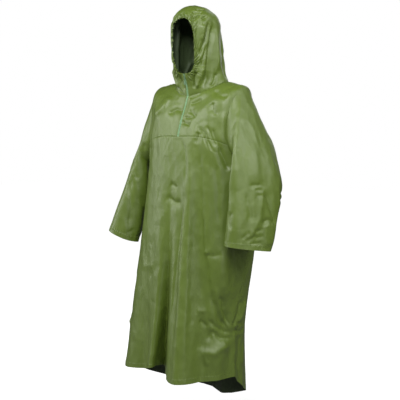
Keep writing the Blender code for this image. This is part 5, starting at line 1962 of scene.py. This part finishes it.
@dataclass
class Studio:
    """The pale floor, the world, the lights and the camera."""

    azimuth: float = 40.0
    distance: float = 5.0
    height: float = -0.1346
    down: float = 3.88
    aside: float = -0.0064
    lens: float = 106.2
    floor: float = -1.44

    def build(self) -> None:
        """Build all of it."""
        aim = np.array([0.0, 0.0, -0.45])
        for box in (
            Softbox("key", 30, 38, 1.1, 1.1, 70),
            Softbox("left", -32, 32, 1.1, 1.1, 46),
            Softbox("low left", -62, 8, 1.2, 1.6, 26),
            Softbox("low right", 62, 8, 1.3, 1.6, 18),
            Softbox("right", 94, 32, 1.3, 1.3, 36),
            Softbox("far right", 125, 30, 1.3, 1.6, 8),
            Softbox("rim", 195, 28, 1.6, 2.6, 15),
        ):
            box.build(aim)
        self.world()
        self.ground()
        turn, drop = math.radians(self.azimuth), math.radians(self.down)
        right = np.array([math.cos(turn), math.sin(turn), 0.0])
        data = bpy.data.cameras.new("camera")
        data.lens, data.sensor_width = self.lens, 36.0
        data.clip_start, data.clip_end = 0.1, 60.0
        camera = added("camera", data)
        spot = self.distance * np.array([math.sin(turn), -math.cos(turn), 0.0]) + right * self.aside
        camera.location = (spot[0], spot[1], self.height)
        ahead = np.array([-math.sin(turn), math.cos(turn), 0.0]) * math.cos(drop)
        aim_at(camera, ahead - (0.0, 0.0, math.sin(drop)))
        bpy.context.scene.camera = camera

    @staticmethod
    def world() -> None:
        """Make the world white to look at and dimmer as a light."""
        world = bpy.data.worlds.new("studio")
        world.use_nodes = True
        tree = world.node_tree
        tree.nodes.clear()
        seen = tree.nodes.new("ShaderNodeBackground")
        seen.inputs["Color"].default_value = (1, 1, 1, 1)
        seen.inputs["Strength"].default_value = 1.0
        light = tree.nodes.new("ShaderNodeBackground")
        light.inputs["Color"].default_value = (0.95, 0.98, 1.0, 1)
        light.inputs["Strength"].default_value = 0.03
        show_apart(tree, light, seen, tree.nodes.new("ShaderNodeOutputWorld"))
        bpy.context.scene.world = world
        bpy.context.scene.view_settings.view_transform = "Standard"

    def ground(self) -> None:
        """Lay the pale floor, which fades into the white behind it."""
        bpy.ops.mesh.primitive_plane_add(size=30, location=(0, 0, self.floor))
        floor = bpy.context.object
        floor.name = "floor"
        floor.data.transform(floor.matrix_world)
        floor.matrix_world.identity()
        board = Board("pale floor")
        place = board.value("ShaderNodeTexCoord", {}, {}, "Object")
        wide = board.stretched(place, (0.5, 0.5, 0))
        near = board.value("ShaderNodeTexGradient", {"gradient_type": "SPHERICAL"}, {"Vector": wide}, 1)
        glow = board.mix(near, (1.0, 1.0, 1.0), (0.55, 0.55, 0.55))
        floor.data.materials.append(board.finish({"Emission Color": glow}, {
            "Base Color": (0.75, 0.75, 0.75, 1), "Roughness": 0.9, "Emission Strength": 1.0}))
        bounce = board.node("ShaderNodeBsdfDiffuse", {}, {"Color": (0.22, 0.22, 0.22, 1)})
        show_apart(board.tree, bounce, board.shader, board.tree.nodes["Material Output"])


@dataclass
class Poncho:
    """The whole dressed poncho."""

    finishes: Finishes = field(default_factory=Finishes)
    panels: Panels = field(default_factory=Panels)
    yoke_inset: float = 0.0028
    zip_inset: float = 0.0024
    hem_inset: float = 0.0180
    casing_inset: float = 0.0154
    seam_inset: float = 0.0030

    @staticmethod
    def rides(piece: bpy.types.Object, body: str, slot: str, *nodes: str) -> bpy.types.Object:
        """Put a piece on its body.

        Args:
            piece: The piece.
            body: The body that it moves with.
            slot: Not used.
            nodes: The solids that it stands for.

        Returns:
            The piece.
        """
        if nodes:
            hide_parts(*nodes)
        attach(piece, body)
        log.info("%s: %d faces", piece.name, len(piece.data.polygons))
        return piece

    def dress(self, cloth: Cloth, node: str) -> None:
        """Put a panel of cloth in place of its solid.

        Args:
            cloth: The panel.
            node: The solid's name.
        """
        piece = cloth.build((self.finishes.outer, self.finishes.inner))
        self.rides(piece, "poncho", "cloth", node)

    def sew(self, cloths: dict[str, Cloth]) -> dict[str, bpy.types.Object]:
        """Build every row of stitches.

        Args:
            cloths: The panels by name.

        Returns:
            The rows by the seam's name.
        """
        sewing = Sewing(self.finishes.thread)
        yokes = [cloths["yoke_left"], cloths["yoke_right"]]
        hoods = [cloths["hood_left"], cloths["hood_right"]]
        front, back = cloths["front"], cloths["back"]
        rows = {"yoke": [yoke.beside(Edge.BOTTOM, self.yoke_inset) for yoke in yokes],
                "zip": [cloth.beside(Edge.START, self.zip_inset) for cloth in (*yokes, *hoods)],
                "hem": [cloth.beside(Edge.BOTTOM, self.hem_inset) for cloth in (front, back)],
                "casing": [hood.beside(Edge.TOP, self.casing_inset) for hood in hoods],
                "hood_seam": [hood.beside(Edge.BOTTOM, self.seam_inset) for hood in hoods],
                "side": [back.beside(edge, self.seam_inset) for edge in (Edge.START, Edge.END)]}
        for word in ("left", "right"):
            sleeve = cloths[f"sleeve_{word}"]
            rows[f"cuff_{word}"] = [sleeve.beside(Edge.BOTTOM, self.hem_inset)]
            rows[f"armhole_{word}"] = [sleeve.beside(Edge.TOP, self.seam_inset)]
        stitches = {}
        for name, lines in rows.items():
            stitches[name] = self.rides(sewing.row(f"{name}_stitches", lines), "poncho", "cloth")
        return stitches

    def build(self) -> None:
        """Build every piece."""
        cloths = dict(zip(("yoke_left", "yoke_right", "front", "back"), self.panels.build()))
        for side in Side:
            cloths[f"sleeve_{side.word}"] = SleeveCloth(side).build()
            hood = HoodCloth(side, self.panels.zip_edge, self.panels.neck_angles())
            cloths[f"hood_{side.word}"] = hood.build()
        sewn = self.sew(cloths)
        self.fasten()
        self.dress(cloths["yoke_left"], "yoke_left")
        self.dress(cloths["yoke_right"], "yoke_right")
        self.dress(cloths["front"], "front_panel")
        self.dress(cloths["back"], "back_panel")
        for word, area in (("left", 0.300), ("right", 0.275)):
            self.dress(cloths[f"sleeve_{word}"], f"sleeve_{word}")
        self.dress(cloths["hood_left"], "hood_left")
        self.dress(cloths["hood_right"], "hood_right")

    def fasten(self) -> None:
        """Build the zip's pieces."""
        fastener = Zip(self.panels, self.finishes)
        edge, coil = fastener.tape_edge, fastener.coil_half
        tape = (self.finishes.tape, self.finishes.tape)
        for side in Side:
            low, high = sorted((side.value * (coil + 0.0002), side.value * edge))
            strip = fastener.strip(f"zip_tape_{side.word}_strip", low, high, fastener.tape_top)
            piece = self.rides(strip.build(tape), "poncho", "zip_tape", f"zip_tape_{side.word}")
        base = fastener.strip("zip_coil_base", -coil, coil, fastener.coil_top - 0.003).build(tape)
        self.rides(base, "poncho", "zip_tape", "zip_coil")
        self.rides(fastener.coil(), "poncho", "zip_tape")
        self.rides(fastener.slider(), "poncho", "zip_hardware", "zip_slider")
        self.rides(fastener.stops(), "poncho", "zip_hardware")
        self.rides(fastener.tab(), "pull_tab", "zip_hardware", "zip_pull_tab")


def main() -> None:
    """Build the poncho and its studio, and report each piece."""
    logging.basicConfig(level=logging.INFO, format="%(message)s")
    bpy.ops.object.select_all(action="DESELECT")
    Poncho().build()
    Studio().build()
    bpy.context.view_layer.update()


if __name__ == "__main__":
    main()
